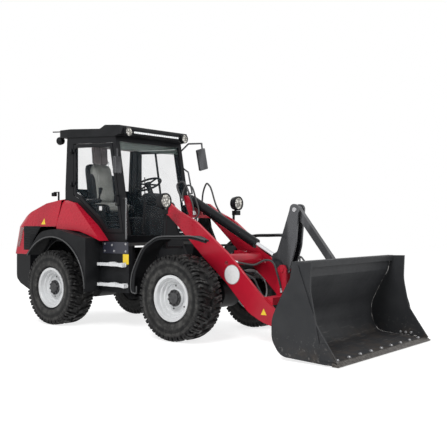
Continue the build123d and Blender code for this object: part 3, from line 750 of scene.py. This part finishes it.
class LOADER_OT_stage(LoaderOperator):
    """Floor, soft light and camera."""
    bl_idname = "loader.stage"
    bl_label = "Stage"

    def build(self, paint, sizes):
        scene = bpy.context.scene
        reach, floor_glow, room, room_seen = 30.0, 1.56, 0.50, 1.0
        mesh = bpy.data.meshes.new("floor")
        corners = [(x * reach, y * reach, 0) for x, y in ((-1, -1), (1, -1), (1, 1), (-1, 1))]
        mesh.from_pydata(corners, [], [(0, 1, 2, 3)])
        floor = self.place("floor", mesh)
        pale = Graph("pale_floor", Roughness=0.9, Specular_IOR_Level=0.0)
        pale.feed("Base Color", pale.mix(pale.noise(0.4, 2), (0.86, 0.86, 0.86), (0.88, 0.88, 0.88)))
        nodes, links = pale.tree.nodes, pale.tree.links
        glow, blend = nodes.new("ShaderNodeEmission"), nodes.new("ShaderNodeMixShader")
        glow.inputs["Strength"].default_value = floor_glow
        links.new((Signal(pale, self.seen(pale.tree)) * 0.5).socket, blend.inputs[0])
        links.new(pale.shader.outputs[0], blend.inputs[1])
        links.new(glow.outputs[0], blend.inputs[2])
        links.new(blend.outputs[0], nodes["Material Output"].inputs["Surface"])
        mesh.materials.append(pale.material)

        scene.world = bpy.data.worlds.new("soft_room")
        scene.world.use_nodes = True
        tree = scene.world.node_tree
        sky, level = tree.nodes["Background"], tree.nodes.new("ShaderNodeMapRange")
        sky.inputs["Color"].default_value = (1, 1, 1, 1)
        tree.links.new(self.seen(tree), level.inputs["Value"])
        level.inputs["To Min"].default_value = room
        level.inputs["To Max"].default_value = room_seen
        tree.links.new(level.outputs[0], sky.inputs["Strength"])

        for name, spot, size, power in (
                ("key", (2.5, -6.5, 7.0), 3.0, 560), ("fill", (8.0, 1.0, 4.0), 4.0, 200),
                ("back", (-6.0, 3.0, 6.0), 4.0, 200)):
            lamp = bpy.data.lights.new(name, "AREA")
            lamp.size, lamp.energy = size, power
            aim = np.array([0, 0, 1.0]) - np.array(spot)
            fall = math.acos(-aim[2] / np.linalg.norm(aim))
            self.place(name, lamp, spot, (fall, 0, math.atan2(aim[0], -aim[1]) + math.pi))

        view = bpy.data.cameras.new("camera")
        view.lens, view.sensor_width = 58.23, 36
        scene.camera = self.place("camera", view, (6.111, -6.768, 1.3305), (math.radians(90), 0, math.radians(39.5)))
        scene.view_settings.view_transform = "Standard"

    def place(self, name, data, spot=ORIGIN, turn=ORIGIN):
        """Puts a mesh, lamp or camera into the scene."""
        holder = bpy.data.objects.new(name, data)
        bpy.context.scene.collection.objects.link(holder)
        holder.location, holder.rotation_euler = spot, turn
        return holder

    def seen(self, tree):
        """Socket that is 1 for what is seen directly, through glass or as a reflection, and 0 for light cast."""
        rays = tree.nodes.new("ShaderNodeLightPath").outputs
        total = rays["Is Camera Ray"]
        for kind in ("Is Transmission Ray", "Is Glossy Ray"):
            larger = tree.nodes.new("ShaderNodeMath")
            larger.operation = "MAXIMUM"
            tree.links.new(total, larger.inputs[0])
            tree.links.new(rays[kind], larger.inputs[1])
            total = larger.outputs[0]
        return total


class LOADER_OT_tyres(LoaderOperator):
    """Tyres: the carcass and lug outlines of the CAD tyre, turned round the axle, with sipes and sidewall ribs."""
    bl_idname = "loader.tyres"
    bl_label = "Tyres"

    def build(self, paint, sizes):
        lugs, steps, slant, width = 20, 34, math.radians(20), 0.066
        half, top, bead, edge, shoulder = 0.1825, 0.490, 0.262, 0.004, .03
        short_half, short_from = .0215, .098
        sipe_half, sipe_from, sipe_depth = .0055, .05, 0.6
        rib_height, rib_rate, rib_low, rib_high, rib_fade = 0.0016, 520, .29, .345, .01
        lug_foot, lug_rise = .445, .02
        wall = half - np.array([.062, .040, .026, .010, .002, 0])
        foot = bead + np.array([-.016, .006, .012, .030, .075])
        y = np.concatenate([wall, half - np.array([.002, .010, .026, .058]), [.090, .006, 0]])
        wide = np.concatenate([wall, half - np.array([0, .001, .006, .048]), [.090, .008, 0]])
        base = np.append(foot, [.368, .412, .440, .454, .461, .463, .463, .463])
        tall = np.append(foot, [.368, .414, .462, .4735, .4865, .4885, .4885, .463])
        stop = np.append(0, np.cumsum(np.hypot(np.diff(y), np.diff(base))))
        u = np.unique(np.concatenate([np.linspace(0, stop[-1], 34), stop, [stop[-1] - .004]]))

        def whole(values, sign):
            """The outline from bead to bead; sign turns the far half over."""
            near = np.interp(u, stop, values)
            return np.append(near, sign * near[-2::-1])[None, :]

        y_base, y_lug, r_base, r_lug = whole(y, -1), whole(wide, -1), whole(base, 1), whole(tall, 1)
        turn = turns(lugs * steps)[:, None]
        row = np.sign(y_lug)
        lean = -np.tan(slant) * row * (y_lug - row * half / 2)
        lean = np.where(np.abs(y_lug) > half - shoulder, -np.tan(slant) * (half / 2 - shoulder), lean)
        pitch = 2 * math.pi / lugs
        angle = turn - lean / top - np.where(row > 0, 0.5, 0) * pitch
        away = np.abs((angle + pitch / 2) % pitch - pitch / 2) * r_lug
        between = np.abs(angle % pitch - pitch / 2) * r_lug
        short = slope(between, short_half, -edge) * slope(np.abs(y_lug), short_from, edge)
        block = np.maximum(slope(away, width / 2 + .002, -edge), short)
        block = block * (1 - sipe_depth * slope(away, sipe_half, -.003) * slope(np.abs(y_lug), sipe_from, .01))
        r = r_base * (1 - block) + r_lug * block
        across = y_base * (1 - block) + y_lug * block
        rib = rib_height * np.sin((r - .30) * rib_rate) * slope(r, rib_low, rib_fade) * slope(r, rib_high, -rib_fade)
        across = across + rib * np.sign(across)
        inner = np.full((len(turn), 1), bead - .0195)
        lifted = np.pad(block * slope(r, lug_foot, lug_rise), ((0, 0), (1, 1)))
        r = np.concatenate([inner, r, inner], 1)
        across = np.pad(across, ((0, 0), (1, 1)), "edge")
        for wheel, side in WHEELS.items():
            hub = pin("spin_" + wheel)
            points = grid(hub[0] + r * np.sin(turn), hub[1] + side * across, hub[2] + r * np.cos(turn))
            spots, faces = skin(points, close_rows=True, close_cols=True)
            obj = piece("tyre_tread_" + wheel, (spots, faces[:, ::side]), "wheel_" + wheel, "rubber", 32)
            # Stored for the rubber finish: the radius places its painted highlight rings, and the lug mask its paler
            # lug tops, which are partly wear and partly painted highlight.
            for key, field in (("wheel_radius", r), ("lug", lifted)):
                obj.data.attributes.new(key, "FLOAT", "POINT").data.foreach_set("value", field.ravel())
            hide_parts("tyre_" + wheel)


HOOD_NOSE = -1165.0
HOOD_WIDE = ([905, 1290, 1672], [748, 746, 655])
HOOD_TAIL = ([905, 1290, 1400], [-2144, -2128, -2085])
HOOD_BEND = ([905, 1290, 1450], [90, 220, 300])
HOOD_RIDGE = ([-2200, -2028, -1925, -1773, -1478, -1194, -1165], [1290, 1362, 1424, 1502, 1610, 1650, 1652])
HOOD_SILL = ([-1750, -1728, -1500], [905, 1284, 1290])
ARCH_SILL = ([-1745, -1640, -1500], [965, 1130, 1284])
HOOD_CROWN, HOOD_HALF = 26, 700
SPINE_TAIL = -1850
FOLD, FOLD_RUN = 7, 1.6
RIB_PITCH = 33


def hood_plan(along, z):
    """Right half of the hood's edge at a level: straight side, corner arc, straight tail; along runs 0 to 3."""
    wide, tail, bend = (np.interp(z, *line) for line in (HOOD_WIDE, HOOD_TAIL, HOOD_BEND))
    side, turn, rest = np.clip(along, 0, 1), np.clip(along - 1, 0, 1) * math.pi / 2, np.clip(along - 2, 0, 1)
    x = HOOD_NOSE + side * (tail + bend - HOOD_NOSE) - bend * np.sin(turn)
    y = -(wide - bend + bend * np.cos(turn)) * (1 - rest)
    return np.broadcast_arrays(x, y)


def hood_crown(x, y):
    """Height of the hood's top: ridge at x + HOOD_CROWN * (1 - (y / HOOD_HALF) ** 2)."""
    return np.interp(x, *HOOD_RIDGE) + HOOD_CROWN * (1 - (y / HOOD_HALF) ** 2)


def ribs(z, rise, depth):
    """Level ribs with flattened crests: rise + depth * sin of the height, cut off at a third."""
    return rise + depth * np.clip(np.sin(z * 2 * math.pi / RIB_PITCH) * 3, -1, 1)


class LOADER_OT_hood(LoaderOperator):
    """Engine hood as one pressed skin with rounded, tucked-in rear corners, its lining, grilles and rear lamps."""
    bl_idname = "loader.hood"
    bl_label = "Engine hood"

    def build(self, paint, sizes):
        along = np.concatenate([np.linspace(0, 1, 70), np.linspace(1, 2, 25)[1:], np.linspace(2, 3, 24)[1:]])[:, None]
        rise = np.linspace(0, 1, 44)[None, :]
        foot = np.interp(hood_plan(along, 1000)[0], *HOOD_SILL)
        first_height, rounds = 340, 6
        z = foot + rise * first_height
        for _ in range(rounds):
            x, y = hood_plan(along, z)
            z = foot + rise * (hood_crown(x[:, -1:], y[:, -1:]) - foot)
        inward = np.linspace(0, 1, 26)[None, 1:]
        spine = np.maximum(x[:, -1:], SPINE_TAIL)
        top_x, top_y = x[:, -1:] + inward * (spine - x[:, -1:]), y[:, -1:] * (1 - inward)
        z = np.concatenate([z, hood_crown(top_x, top_y)], 1)
        z = z - FOLD * np.exp(-((np.arange(z.shape[1]) - rise.size + 1) / FOLD_RUN) ** 2)[None, :]
        right = at(np.concatenate([x, top_x], 1), np.concatenate([y, top_y], 1), z)
        whole = np.concatenate([right, right[-2::-1] * np.array([1, -1, 1])])
        self.closed("hood_skin", whole, "red_enamel", 0.012)
        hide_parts("engine_hood")
        inner = whole[::3, ::3].copy()
        nose = at(HOOD_NOSE, 0, 0)[0]
        inner[..., 0] = nose + (inner[..., 0] - nose) * 0.978
        inner[..., 1] *= 0.962
        inner[..., 2] -= 0.024 * slope(inner[..., 2], 1.300, 0.05)
        self.closed("hood_lining", inner, "moulded_black", 0.005)

        tail_end, length, top_end = -1886, 380, 1294
        level, reach = np.linspace(0, 1, 90)[None, :], np.linspace(0, 1, 40)[:, None]
        gx = tail_end + reach * length
        low_z = np.interp(gx, *ARCH_SILL)
        gz = low_z + level * (top_end - low_z)
        border = np.minimum(np.minimum(reach, 1 - reach), np.minimum(level, 1 - level))
        gy = -(np.interp(gz, *HOOD_WIDE) + np.where(border < 0.012, 1.0, ribs(gz, 4.0, 3.0)))
        side = facing(at(gx, gy, gz), (0, -1, 0))
        half, low, high = 480, 940, 1240
        ry, rz = np.linspace(-half, half, 60)[:, None], np.linspace(low, high, 90)[None, :]
        border = np.minimum(half - np.abs(ry), np.minimum(rz - low, high - rz))
        rx = np.interp(rz, *HOOD_TAIL) - np.where(border < 4, 1.0, ribs(rz, 5.0, 2.5))
        rear = facing(at(rx, ry, rz), (-1, 0, 0))
        obj = piece("hood_grilles", joined([mirrored(side), rear]), "hood", "moulded_black", 30)
        thicken(obj, 0.006)
        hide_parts("hood_grille")

        first, last = 0.955, 1.13
        t, v = np.linspace(first, last, 24)[:, None], np.linspace(0, 1, 30)[None, :]
        lz = 1005 + v * 272
        lx, ly = hood_plan(t, lz)
        border = np.minimum(np.minimum(t - first, last - t) / (last - first), np.minimum(v, 1 - v))
        puff = np.where(border < 0.02, 1.0, 5.0)
        angle = np.maximum(t - 1, 0) * math.pi / 2
        lenses = facing(at(lx - puff * np.sin(angle), ly - puff * np.cos(angle), lz), (-1, -1, 0))
        obj = piece("tail_lamp_lenses", mirrored(lenses), "hood", "tail_lens", 40)
        thicken(obj, 0.005)
        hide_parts("tail_lamps")
        boxes = slabs(
            ((-1424, -630, 1702), (-1362, -576, 1754), 0.006), ((-1400, -612, 1752), (-1296, -588, 1763), 0.003),
            ((-1308, -612, 1600), (-1292, -588, 1763), 0.003), ((-1427, -624, 1708), (-1423, -582, 1748), 0.001))
        knuckle = tube(path([(-1180, 328, 1690), (-1180, 360, 1690)]), 0.012, 16)
        piece("hood_lamp_boxes", mirrored(joined([boxes, knuckle])), "hood", "moulded_black")

    def closed(self, name, points, kind, wall):
        """A sheet whose two halves meet along the spine: doubled points merged, faces outwards, wall inwards."""
        obj = piece(name, skin(points), "hood", kind, 34)
        mesh = bmesh.new()
        mesh.from_mesh(obj.data)
        bmesh.ops.remove_doubles(mesh, verts=mesh.verts, dist=1e-5)
        bmesh.ops.recalc_face_normals(mesh, faces=mesh.faces)
        mesh.to_mesh(obj.data)
        mesh.free()
        if obj.data.polygons[0].normal.y > 0:
            obj.data.flip_normals()
        thicken(obj, wall)


class LOADER_OT_wheel_fittings(LoaderOperator):
    """Dark hub with its ring of nuts, and the plugs in the disc, on each wheel."""
    bl_idname = "loader.wheel_fittings"
    bl_label = "Wheel fittings"

    def build(self, paint, sizes):
        dome = [(0.0965, 0.048), (0.0965, 0.0910), (0.0935, 0.0935), (0.066, 0.0935), (0.064, 0.110), (0.056, 0.117),
                (0.022, 0.120), (0.018, 0.124), (POINT, 0.124)]
        plug = lathe([(0.011, 0), (0.011, 0.002), (0.008, 0.003), (POINT, 0.0015)], ORIGIN, UP, 20)
        for wheel, side in WHEELS.items():
            hub, body, out = pin("spin_" + wheel), "wheel_" + wheel, (0, side, 0)

            def ring(angles, radius, rise):
                """Places round the hub at a radius, a little out from its middle."""
                return hub + grid(radius * np.cos(angles), side * rise, radius * np.sin(angles))

            nuts = repeated(hex_bolt(0.0115, 0.017), ring(turns(sizes.wheel_bolts, 0.2), 0.083, 0.0930), out)
            piece("hub_" + wheel, joined([lathe(dome, hub, out), nuts]), body, "hub_enamel")
            piece("rim_plugs_" + wheel, repeated(plug, ring(turns(5, 0.5), 0.139, 0.0398), out), body, "hub_enamel")


class LOADER_OT_seat(LoaderOperator):
    """Driver's seat: puffed cushion, pleated back with dark bolsters, two-part head cushion, bellows and frame."""
    bl_idname = "loader.seat"
    bl_label = "Seat"

    def build(self, paint, sizes):
        tilt = math.radians(9.5)
        for name, centre, half, turn in (
                ("seat_cushion", at(-775, -120, 1545), (0.205, 0.215, 0.058), 0.03),
                ("seat_back", at(-952, -129, 1870), (0.052, 0.185, 0.285), -tilt)):
            obj = piece(name, pillow(centre, half, (0.42, 0.42), (64, 40), turn), "rear_frame", "seat_cover", 180)
            spots = inflate(obj, 0.012)
            x, y, z = (spots - centre).T
            if name == "seat_back":
                front = slope(x + z * math.tan(tilt), 0, 0.02)
                seam = np.exp(-((np.abs(y) - 0.115) / 0.006) ** 2)
                pleat = slope(z + 0.05 + 0.4 * y, 0, -0.08) * np.clip(np.sin((z + 0.5 * y) * 110), 0, 1) ** 6
                spots[:, 0] -= front * (0.007 * seam + 0.005 * pleat * np.clip(1 - np.abs(y) / 0.11, 0, 1))
            else:
                seams = np.exp(-((np.abs(y) - 0.12) / 0.006) ** 2) + np.exp(-(x / 0.007) ** 2)
                spots[:, 2] -= slope(z, 0, 0.02) * 0.006 * seams
            obj.data.vertices.foreach_set("co", spots.ravel())
            obj.data.update()
            smooth = obj.modifiers.new("smooth", "SUBSURF")
            smooth.levels = smooth.render_levels = 1
            if name == "seat_back":
                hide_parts("seat")
        for side, y in (("left", -64), ("right", -188)):
            pad = pillow(at(-1005, y, 2270), (0.036, 0.063, 0.125), (0.4, 0.3), (48, 32), -0.08)
            obj = piece("head_cushion_" + side, pad, "rear_frame", "head_cover", 180)
            inflate(obj, 0.006)
        shell = [pillow(at(-1000, -129, 1850), (0.036, 0.222, 0.300), (0.5, 0.3), (56, 32), -tilt)]
        shell += [pillow(at(-945, y, 1800), (0.062, 0.036, 0.205), (0.6, 0.6), (40, 28), -tilt) for y in (55, -313)]
        shell += [pillow(at(-770, y, 1530), (0.200, 0.034, 0.062), (0.5, 0.6), (40, 24), 0.03) for y in (100, -342)]
        piece("seat_shell", joined(shell), "rear_frame", "moulded_black", 60)
        z = np.linspace(1.12, 1.475, 90)
        fold = 0.94 + 0.06 * np.cos((z - 1.12) * 2 * math.pi / 0.045)
        fold, z = np.pad(fold, 1), np.pad(z, 1, "edge")
        t, centre = turns(48)[:, None], at(-775, -120, 0)
        bellows = grid(centre[0] + 0.150 * fold * spread(np.cos(t), 0.35),
                       centre[1] + 0.155 * fold * spread(np.sin(t), 0.35), z)
        piece("seat_bellows", skin(bellows, close_rows=True), "rear_frame", "moulded_black", 30)
        base = slabs(((-950, -300, 1089), (-600, 60, 1122), 0.006), ((-940, -290, 1474), (-600, 50, 1492), 0.004),
                     ((-1000, -141, 1560), (-975, -117, 1700), 0.003))
        piece("seat_frame", base, "rear_frame", "black_enamel")
        posts = [tube(path([(-1012, 2090), (-1010, 2200)], y), 0.007) for y in (40, -170)]
        piece("head_posts", joined(posts), "rear_frame", "polished")
        label = outline([(-530, 1500), (-476, 1500), (-476, 1556), (-530, 1556)])
        piece("seat_label", plate(label, -0.5455), "rear_frame", "white_sticker")


def windscreen(z):
    """X of the raked windscreen at a height."""
    return 47 - (z - 1180) * 207 / 1191.7


class LOADER_OT_cabin(LoaderOperator):
    """Side consoles, joystick, dash pod, pedals, sun band, wiper and roof lining."""
    bl_idname = "loader.cabin"
    bl_label = "Cabin"

    def build(self, paint, sizes):
        right = slabs(((-1000, -545, 1090), (-560, -392, 1560), 0.02), ((-920, -520, 1600), (-600, -420, 1660), 0.02))
        stem = tube(path([(-900, -470, 1560), (-900, -470, 1610)]), 0.02)
        left = slabs(((-1090, -545, 1090), (-1005, 545, 1330), 0.02), ((-1000, 250, 1090), (-700, 545, 1420), 0.02))
        piece("consoles", joined([right, stem, left]), "rear_frame", "moulded_black")
        grip = curve(path([(-620, 1655), (-610, 1700), (-600, 1740), (-592, 1775)], -470), 16)
        girth = np.interp(np.linspace(0, 1, 16), [0, .4, .6, 1], [.012, .012, .022, .026])
        knob = pillow(at(-590, -470, 1785), (.03, .025, .02), (.8, .8), (24, 16))
        piece("joystick", joined([tube(grip, girth), knob]), "rear_frame", "moulded_black")
        pod = [pillow(at(-175, 100, 1640), (0.075, 0.20, 0.085), (0.5, 0.4), (48, 28), 0.5)]
        pod += [tube(path([(-190, y, 1660), (-215, y + 60, 1700), (-240, y + 90, 1720)]), 0.007) for y in (130, 60)]
        piece("dash_pod", joined(pod), "rear_frame", "moulded_black")
        pedals = slabs(*(((-235, y, 1118), (-135, y + 75, 1132), 0.004) for y in (150, -120, -230)))
        piece("pedals", pedals, "rear_frame", "mat_rubber")
        x, y, z = (np.linspace(a, b, n) for a, b, n in ((-169, -154, 6), (-540, 540, 12), (2371, 2270, 6)))
        points, faces = skin(at(x[:, None], y[None, :], z[:, None]))
        thicken(piece("sun_band", (points, faces[:, ::-1]), "rear_frame", "sun_film"), 0.002)
        arm = [(windscreen(z) + 16, y, z) for y, z in ((-330, 1215), (-310, 1330), (-225, 1640))]
        blade = [(windscreen(z) + 9, y, z) for y, z in ((-262, 1330), (-215, 1640), (-170, 1930))]
        wiper = [tube(curve(path(stops), 24), radius, 8) for stops, radius in ((arm, 0.007), (blade, 0.006))]
        wiper.append(tube(path([(46, -330, 1200), (78, -330, 1206)]), 0.018, 16))
        piece("wiper", joined(wiper), "rear_frame", "moulded_black")
        piece("roof_lining", slabs(((-1080, -540, 2380), (-240, 540, 2398), 0.006)), "rear_frame", "lining_cloth")


class LOADER_OT_lamps(LoaderOperator):
    """Reflectors, lenses and bezels of the headlamps and roof lamps, and the roof's light strip."""
    bl_idname = "loader.lamps"
    bl_label = "Lamps"

    def build(self, paint, sizes):
        parts = (
            ("_bowls", "reflector", [(0, 0.0006), (0.3, 0.001), (0.98, 0.006)]),
            ("_lenses", "lens", [(0.985, 0.0062), (0.97, 0.009), (0.7, 0.013), (0.3, 0.0155), (0, 0.016)]),
            ("_rings", "moulded_black", [(1.0, 0.0072), (1.035, 0.0145), (1.13, 0.0155), (1.19, 0.010)]))
        for name, body, (x, y, z), radius, way in (
                ("headlamp", "front_frame", (799, 685, 1595), 0.076, 1),
                ("roof_front", "rear_frame", (-6, 516, 2486), 0.052, 1),
                ("roof_rear", "rear_frame", (-1345.4, 540, 2462), 0.0468, -1)):
            for ending, kind, profile in parts:
                turned = [(max(radius * r, POINT), h) for r, h in profile]
                pair = [lathe(turned, at(x, side * y, z), (way, 0, 0)) for side in (-1, 1)]
                piece(name + ending, joined(pair), body, kind)
        piece("roof_light_strip", slabs(((-19.8, -412, 2474), (-15, 412, 2498), 0.002)), "rear_frame", "light_strip")


class LOADER_OT_trim(LoaderOperator):
    """Front fender shells with their brackets, fender lips, arch liners and serrated step treads."""
    bl_idname = "loader.trim"
    bl_label = "Trim"

    def build(self, paint, sizes):
        arc = [(1400, 1190), (1150, 1188), (900, 1178), (770, 1128), (640, 1040), (530, 880), (460, 740)]
        front = [(1600, 1152), *arc, (441, 620), (446, 545), (470, 521), (520, 516), (534, 530), (536, 600)]
        angles = np.radians(np.linspace(2, 142, 24))
        rear = grid(REAR_ARCH[0] + 0.668 * np.cos(angles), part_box("rear_fenders")[1][1] - 0.004,
                    REAR_ARCH[2] + 0.668 * np.sin(angles))
        for name, line, body in (("front_fender_lips", curve(path(front, -898), 120), "front_frame"),
                                 ("rear_fender_lips", rear, "rear_frame")):
            piece(name, mirrored(tube(line, 0.0085, 12)), body, "lip_rubber_painted_highlight", 60)

        crest = [(1612, 1150), *((x, z + 1) for x, z in arc), (440, 620), (440, 519)]
        crown = curve(path(crest, 0), 110)
        x, z = crown[:, :1], crown[:, 2:]
        face = 0.900
        tip = np.interp(x, at(np.array([1150, 1612]), 0, 0)[:, 0], [0.615, 0.850])
        shell = facing(grid(x, -(tip + (face - tip) * np.linspace(0, 1, 20)), z), (-1, 0, 1))
        run = unit(np.gradient(crown[:, [0, 2]], axis=0))
        depth = np.interp(z, [0.519, 1.100], [0.064, 0.034]) * np.linspace(0, 1, 5)
        skirt = facing(grid(x - run[:, 1:] * depth, -face, z + run[:, :1] * depth), (0, -1, 0))
        obj = piece("front_fender_shells", mirrored(joined([shell, skirt])), "front_frame", "moulded_black")
        thicken(obj, 0.017)
        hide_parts("front_fenders")
        bracket = slabs(((735, -660, 1040), (780, -622, 1150), 0.004))
        piece("front_fender_brackets", mirrored(bracket), "front_frame", "moulded_black")
        liner = slabs(((-1166, -743, 1092), (-560, -560, 1210), 0.004))
        piece("arch_liners", mirrored(liner), "rear_frame", "moulded_black")

        treads = []
        for x0, x1, z in ((-392, 80, 815), (-392, 108, 560)):
            x = np.linspace(x0, x1, 60)
            u = (x - x0) / (x1 - x0)
            teeth = 2.5 * np.sin(u * 95)
            top = z + 20 + 16 * np.exp(-((u - 0.55) / 0.12) ** 2) + 12 * slope(u, 0.75, 0.25) + teeth
            sole = z - 12 - 14 * slope(u, 0.7, 0.3) - 6 * np.exp(-((u - 0.55) / 0.15) ** 2)
            edge = outline(np.concatenate([np.stack([x, sole], -1), np.stack([x, top], -1)[::-1]]))
            treads += [plate(edge, y, 1, 0.004) for y in (0.6415, 0.668, 0.6955)]
        piece("step_treads", mirrored(joined(treads)), "rear_frame", "step_enamel", 30)


class LOADER_OT_lines(LoaderOperator):
    """Formed hydraulic lines on the boom and bucket, each held at both ends, with crimped ferrules."""
    bl_idname = "loader.lines"
    bl_label = "Hydraulic lines"

    def build(self, paint, sizes):
        runs = (
            ("lines_base", "boom", 1.15, [
                (560, -118, 1600), (470, -112, 1740), (446, -105, 1817), (500, -100, 1848), (566, -98, 1832),
                (640, -97, 1700), (700, -97, 1560), (720, -97, 1440)]),
            ("lines_tilt_near", "boom", 1, [
                (600, -150, 1560), (560, -130, 1700), (600, -100, 1800), (680, -90, 1780), (740, -90, 1640),
                (800, -100, 1450), (860, -330, 1330), (885, -352, 1290)]),
            ("lines_tilt_far", "boom", 1, [
                (650, 130, 1470), (668, 128, 1700), (732, 120, 1828), (783, 120, 1806), (820, 120, 1747),
                (899, 124, 1544), (960, 200, 1400), (1080, 340, 1230), (1110, 352, 1200)]),
            ("lines_tip_upper", "boom", 1, [
                (1560, -352, 900), (1640, -300, 880), (1742, -215, 862), (1855, -160, 916), (1960, -150, 890),
                (2010, -140, 760), (2030, -112, 640), (2040, -104, 560)]),
            ("lines_tip_lower", "boom", 1, [
                (1600, -352, 780), (1660, -290, 760), (1740, -220, 700), (1785, -200, 608), (1855, -200, 511),
                (1950, -220, 470), (2010, -240, 500)]),
            ("lines_coupler", "bucket", 0.9, [
                (2560, -86, 720), (2450, -150, 900), (2398, -160, 911), (2330, -170, 960), (2380, -200, 700),
                (2440, -260, 420), (2500, -300, 300)]),
        )
        for name, body, factor, stops in runs:
            radius = sizes.hose * factor
            line = curve(path(stops), 90)
            crimp = [(POINT, -.004), (radius * 1.5, -.004), (radius * 1.5, .012), (radius * 1.25, .016),
                     (radius * 1.25, .045), (radius, .047)]
            ends = [lathe(crimp, tip, inner - tip, 18) for tip, inner in ((line[0], line[4]), (line[-1], line[-5]))]
            piece(name, tube(line, radius, 14), body, "hose_rubber", 60)
            piece(name + "_ferrules", joined(ends), body, "zinc", 30)


BOOM_FACE, SILL_FACE = 0.392, 0.640


class LOADER_OT_markings(LoaderOperator):
    """Plain stickers: white disc, yellow triangles and the yellow sill sticker, all left empty."""
    bl_idname = "loader.markings"
    bl_label = "Blank stickers"

    def build(self, paint, sizes):
        x, z = at(1561, 0, 752)[[0, 2]]
        boom_mark = outline([(1966, 330), (2044, 330), (2005, 400)])
        hood_mark = outline([(-1500, 1318), (-1408, 1318), (-1454, 1400)])
        sill = outline([(24, 826), (128, 826), (128, 950), (24, 950)])
        for side, name in SIDES:
            for part, edge, face, thick, body, kind in (
                    ("disc_edge_", disc(x, z, 0.112), BOOM_FACE, 0.0012, "boom", "grey_sticker"),
                    ("disc_", disc(x, z, 0.105), BOOM_FACE, 0.0020, "boom", "white_sticker"),
                    ("boom_triangle_", boom_mark, BOOM_FACE, 0.0015, "boom", "yellow_sticker"),
                    ("hood_triangle_", hood_mark, 0, 0.0015, "hood", "yellow_sticker"),
                    ("sill_sticker_", sill, SILL_FACE, 0.0015, "rear_frame", "yellow_sticker")):
                spots, faces = plate(edge, side * face, side, thick)
                if body == "hood":
                    spots[:, 1] += side * (np.interp(spots[:, 2] * 1000, *HOOD_WIDE) / 1000 + 0.0005)
                piece(part + name, (spots, faces), body, kind)


class LOADER_OT_bolts(LoaderOperator):
    """Bolt heads of the bucket's edge and corners and of the sill plates, pin caps and the bucket's weld beads."""
    bl_idname = "loader.bolts"
    bl_label = "Bolts"

    def build(self, paint, sizes):
        spots = at(3215, np.linspace(-880, 880, 9), 48.3)
        piece("edge_bolts", repeated(hex_bolt(0.016, 0.014), spots), "bucket", "zinc")
        corner = [at(x, side * 978, 82) for side in (-1, 1) for x in (2958, 3022, 3086)]
        inward = np.repeat([[0, 1, 0], [0, -1, 0]], 3, 0)
        piece("corner_bolts", repeated(hex_bolt(0.012, 0.010), corner, inward), "bucket", "zinc")
        seam = [(2824, 950), (2800, 800), (2738, 690), (2650, 530), (2592, 400), (2585, 300), (2602, 200), (2660, 98),
                (2760, 64), (2950, 56), (3160, 51)]
        piece("bucket_welds", mirrored(tube(curve(path(seam, -977), 90), 0.0045, 8)), "bucket", "weld_steel", 60)
        sill = outline([(-340, 955), (125, 955), (125, 1100), (-340, 1100)])
        for side, name in SIDES:
            piece("sill_plate_" + name, plate(sill, side * SILL_FACE, side, 0.006), "rear_frame", "blue_black")
            spots = path([(-305, 1075), (-305, 985), (-170, 1060), (-130, 985), (80, 1075), (80, 985)], side * 646)
            piece("sill_bolts_" + name, repeated(hex_bolt(0.011, 0.009), spots, (0, side, 0)), "rear_frame", "zinc")
            for part, body, x, y, z in (("pin_caps_", "front_frame", 520, 404.2, 1510),
                                        ("bucket_pin_caps_", "boom", 2440, 452.2, 244)):
                cap = pin_cap(0.030, 0.034, 0.012, 0.008, at(x, side * y, z), side)
                piece(part + name, joined([cap]), body, "zinc")
        ends = [pin_cap(0.024, 0.027, 0.008, 0.004, at(2190, side * 70.2, 1484), side) for side in (-1, 1)]
        piece("lever_pin_caps", joined(ends), "lever", "zinc")


PIECES = (
    LOADER_OT_paint_frame, LOADER_OT_stage, LOADER_OT_tyres, LOADER_OT_hood, LOADER_OT_wheel_fittings,
    LOADER_OT_seat, LOADER_OT_cabin, LOADER_OT_lamps, LOADER_OT_trim, LOADER_OT_lines, LOADER_OT_markings,
    LOADER_OT_bolts)


class LOADER_PT_panel(bpy.types.Panel):
    """Lists the loader's operators and settings."""
    bl_label = "Loader"
    bl_idname = "LOADER_PT_panel"
    bl_space_type = "VIEW_3D"
    bl_region_type = "UI"
    bl_category = "Loader"

    def draw(self, context):
        for group in (context.scene.loader_paint, context.scene.loader_sizes):
            for key in group.__annotations__:
                self.layout.prop(group, key)
        for operator in PIECES:
            self.layout.operator(operator.bl_idname)


CLASSES = (LoaderPaint, LoaderSizes) + PIECES + (LOADER_PT_panel,)


def register():
    for cls in CLASSES:
        bpy.utils.register_class(cls)
    bpy.types.Scene.loader_paint = bpy.props.PointerProperty(type=LoaderPaint)
    bpy.types.Scene.loader_sizes = bpy.props.PointerProperty(type=LoaderSizes)


def unregister():
    del bpy.types.Scene.loader_sizes
    del bpy.types.Scene.loader_paint
    for cls in reversed(CLASSES):
        bpy.utils.unregister_class(cls)


def main():
    """Registers the classes and runs the operators in order."""
    register()
    for operator in PIECES:
        group, call = operator.bl_idname.split(".")
        getattr(getattr(bpy.ops, group), call)()


if __name__ == "__main__":
    main()
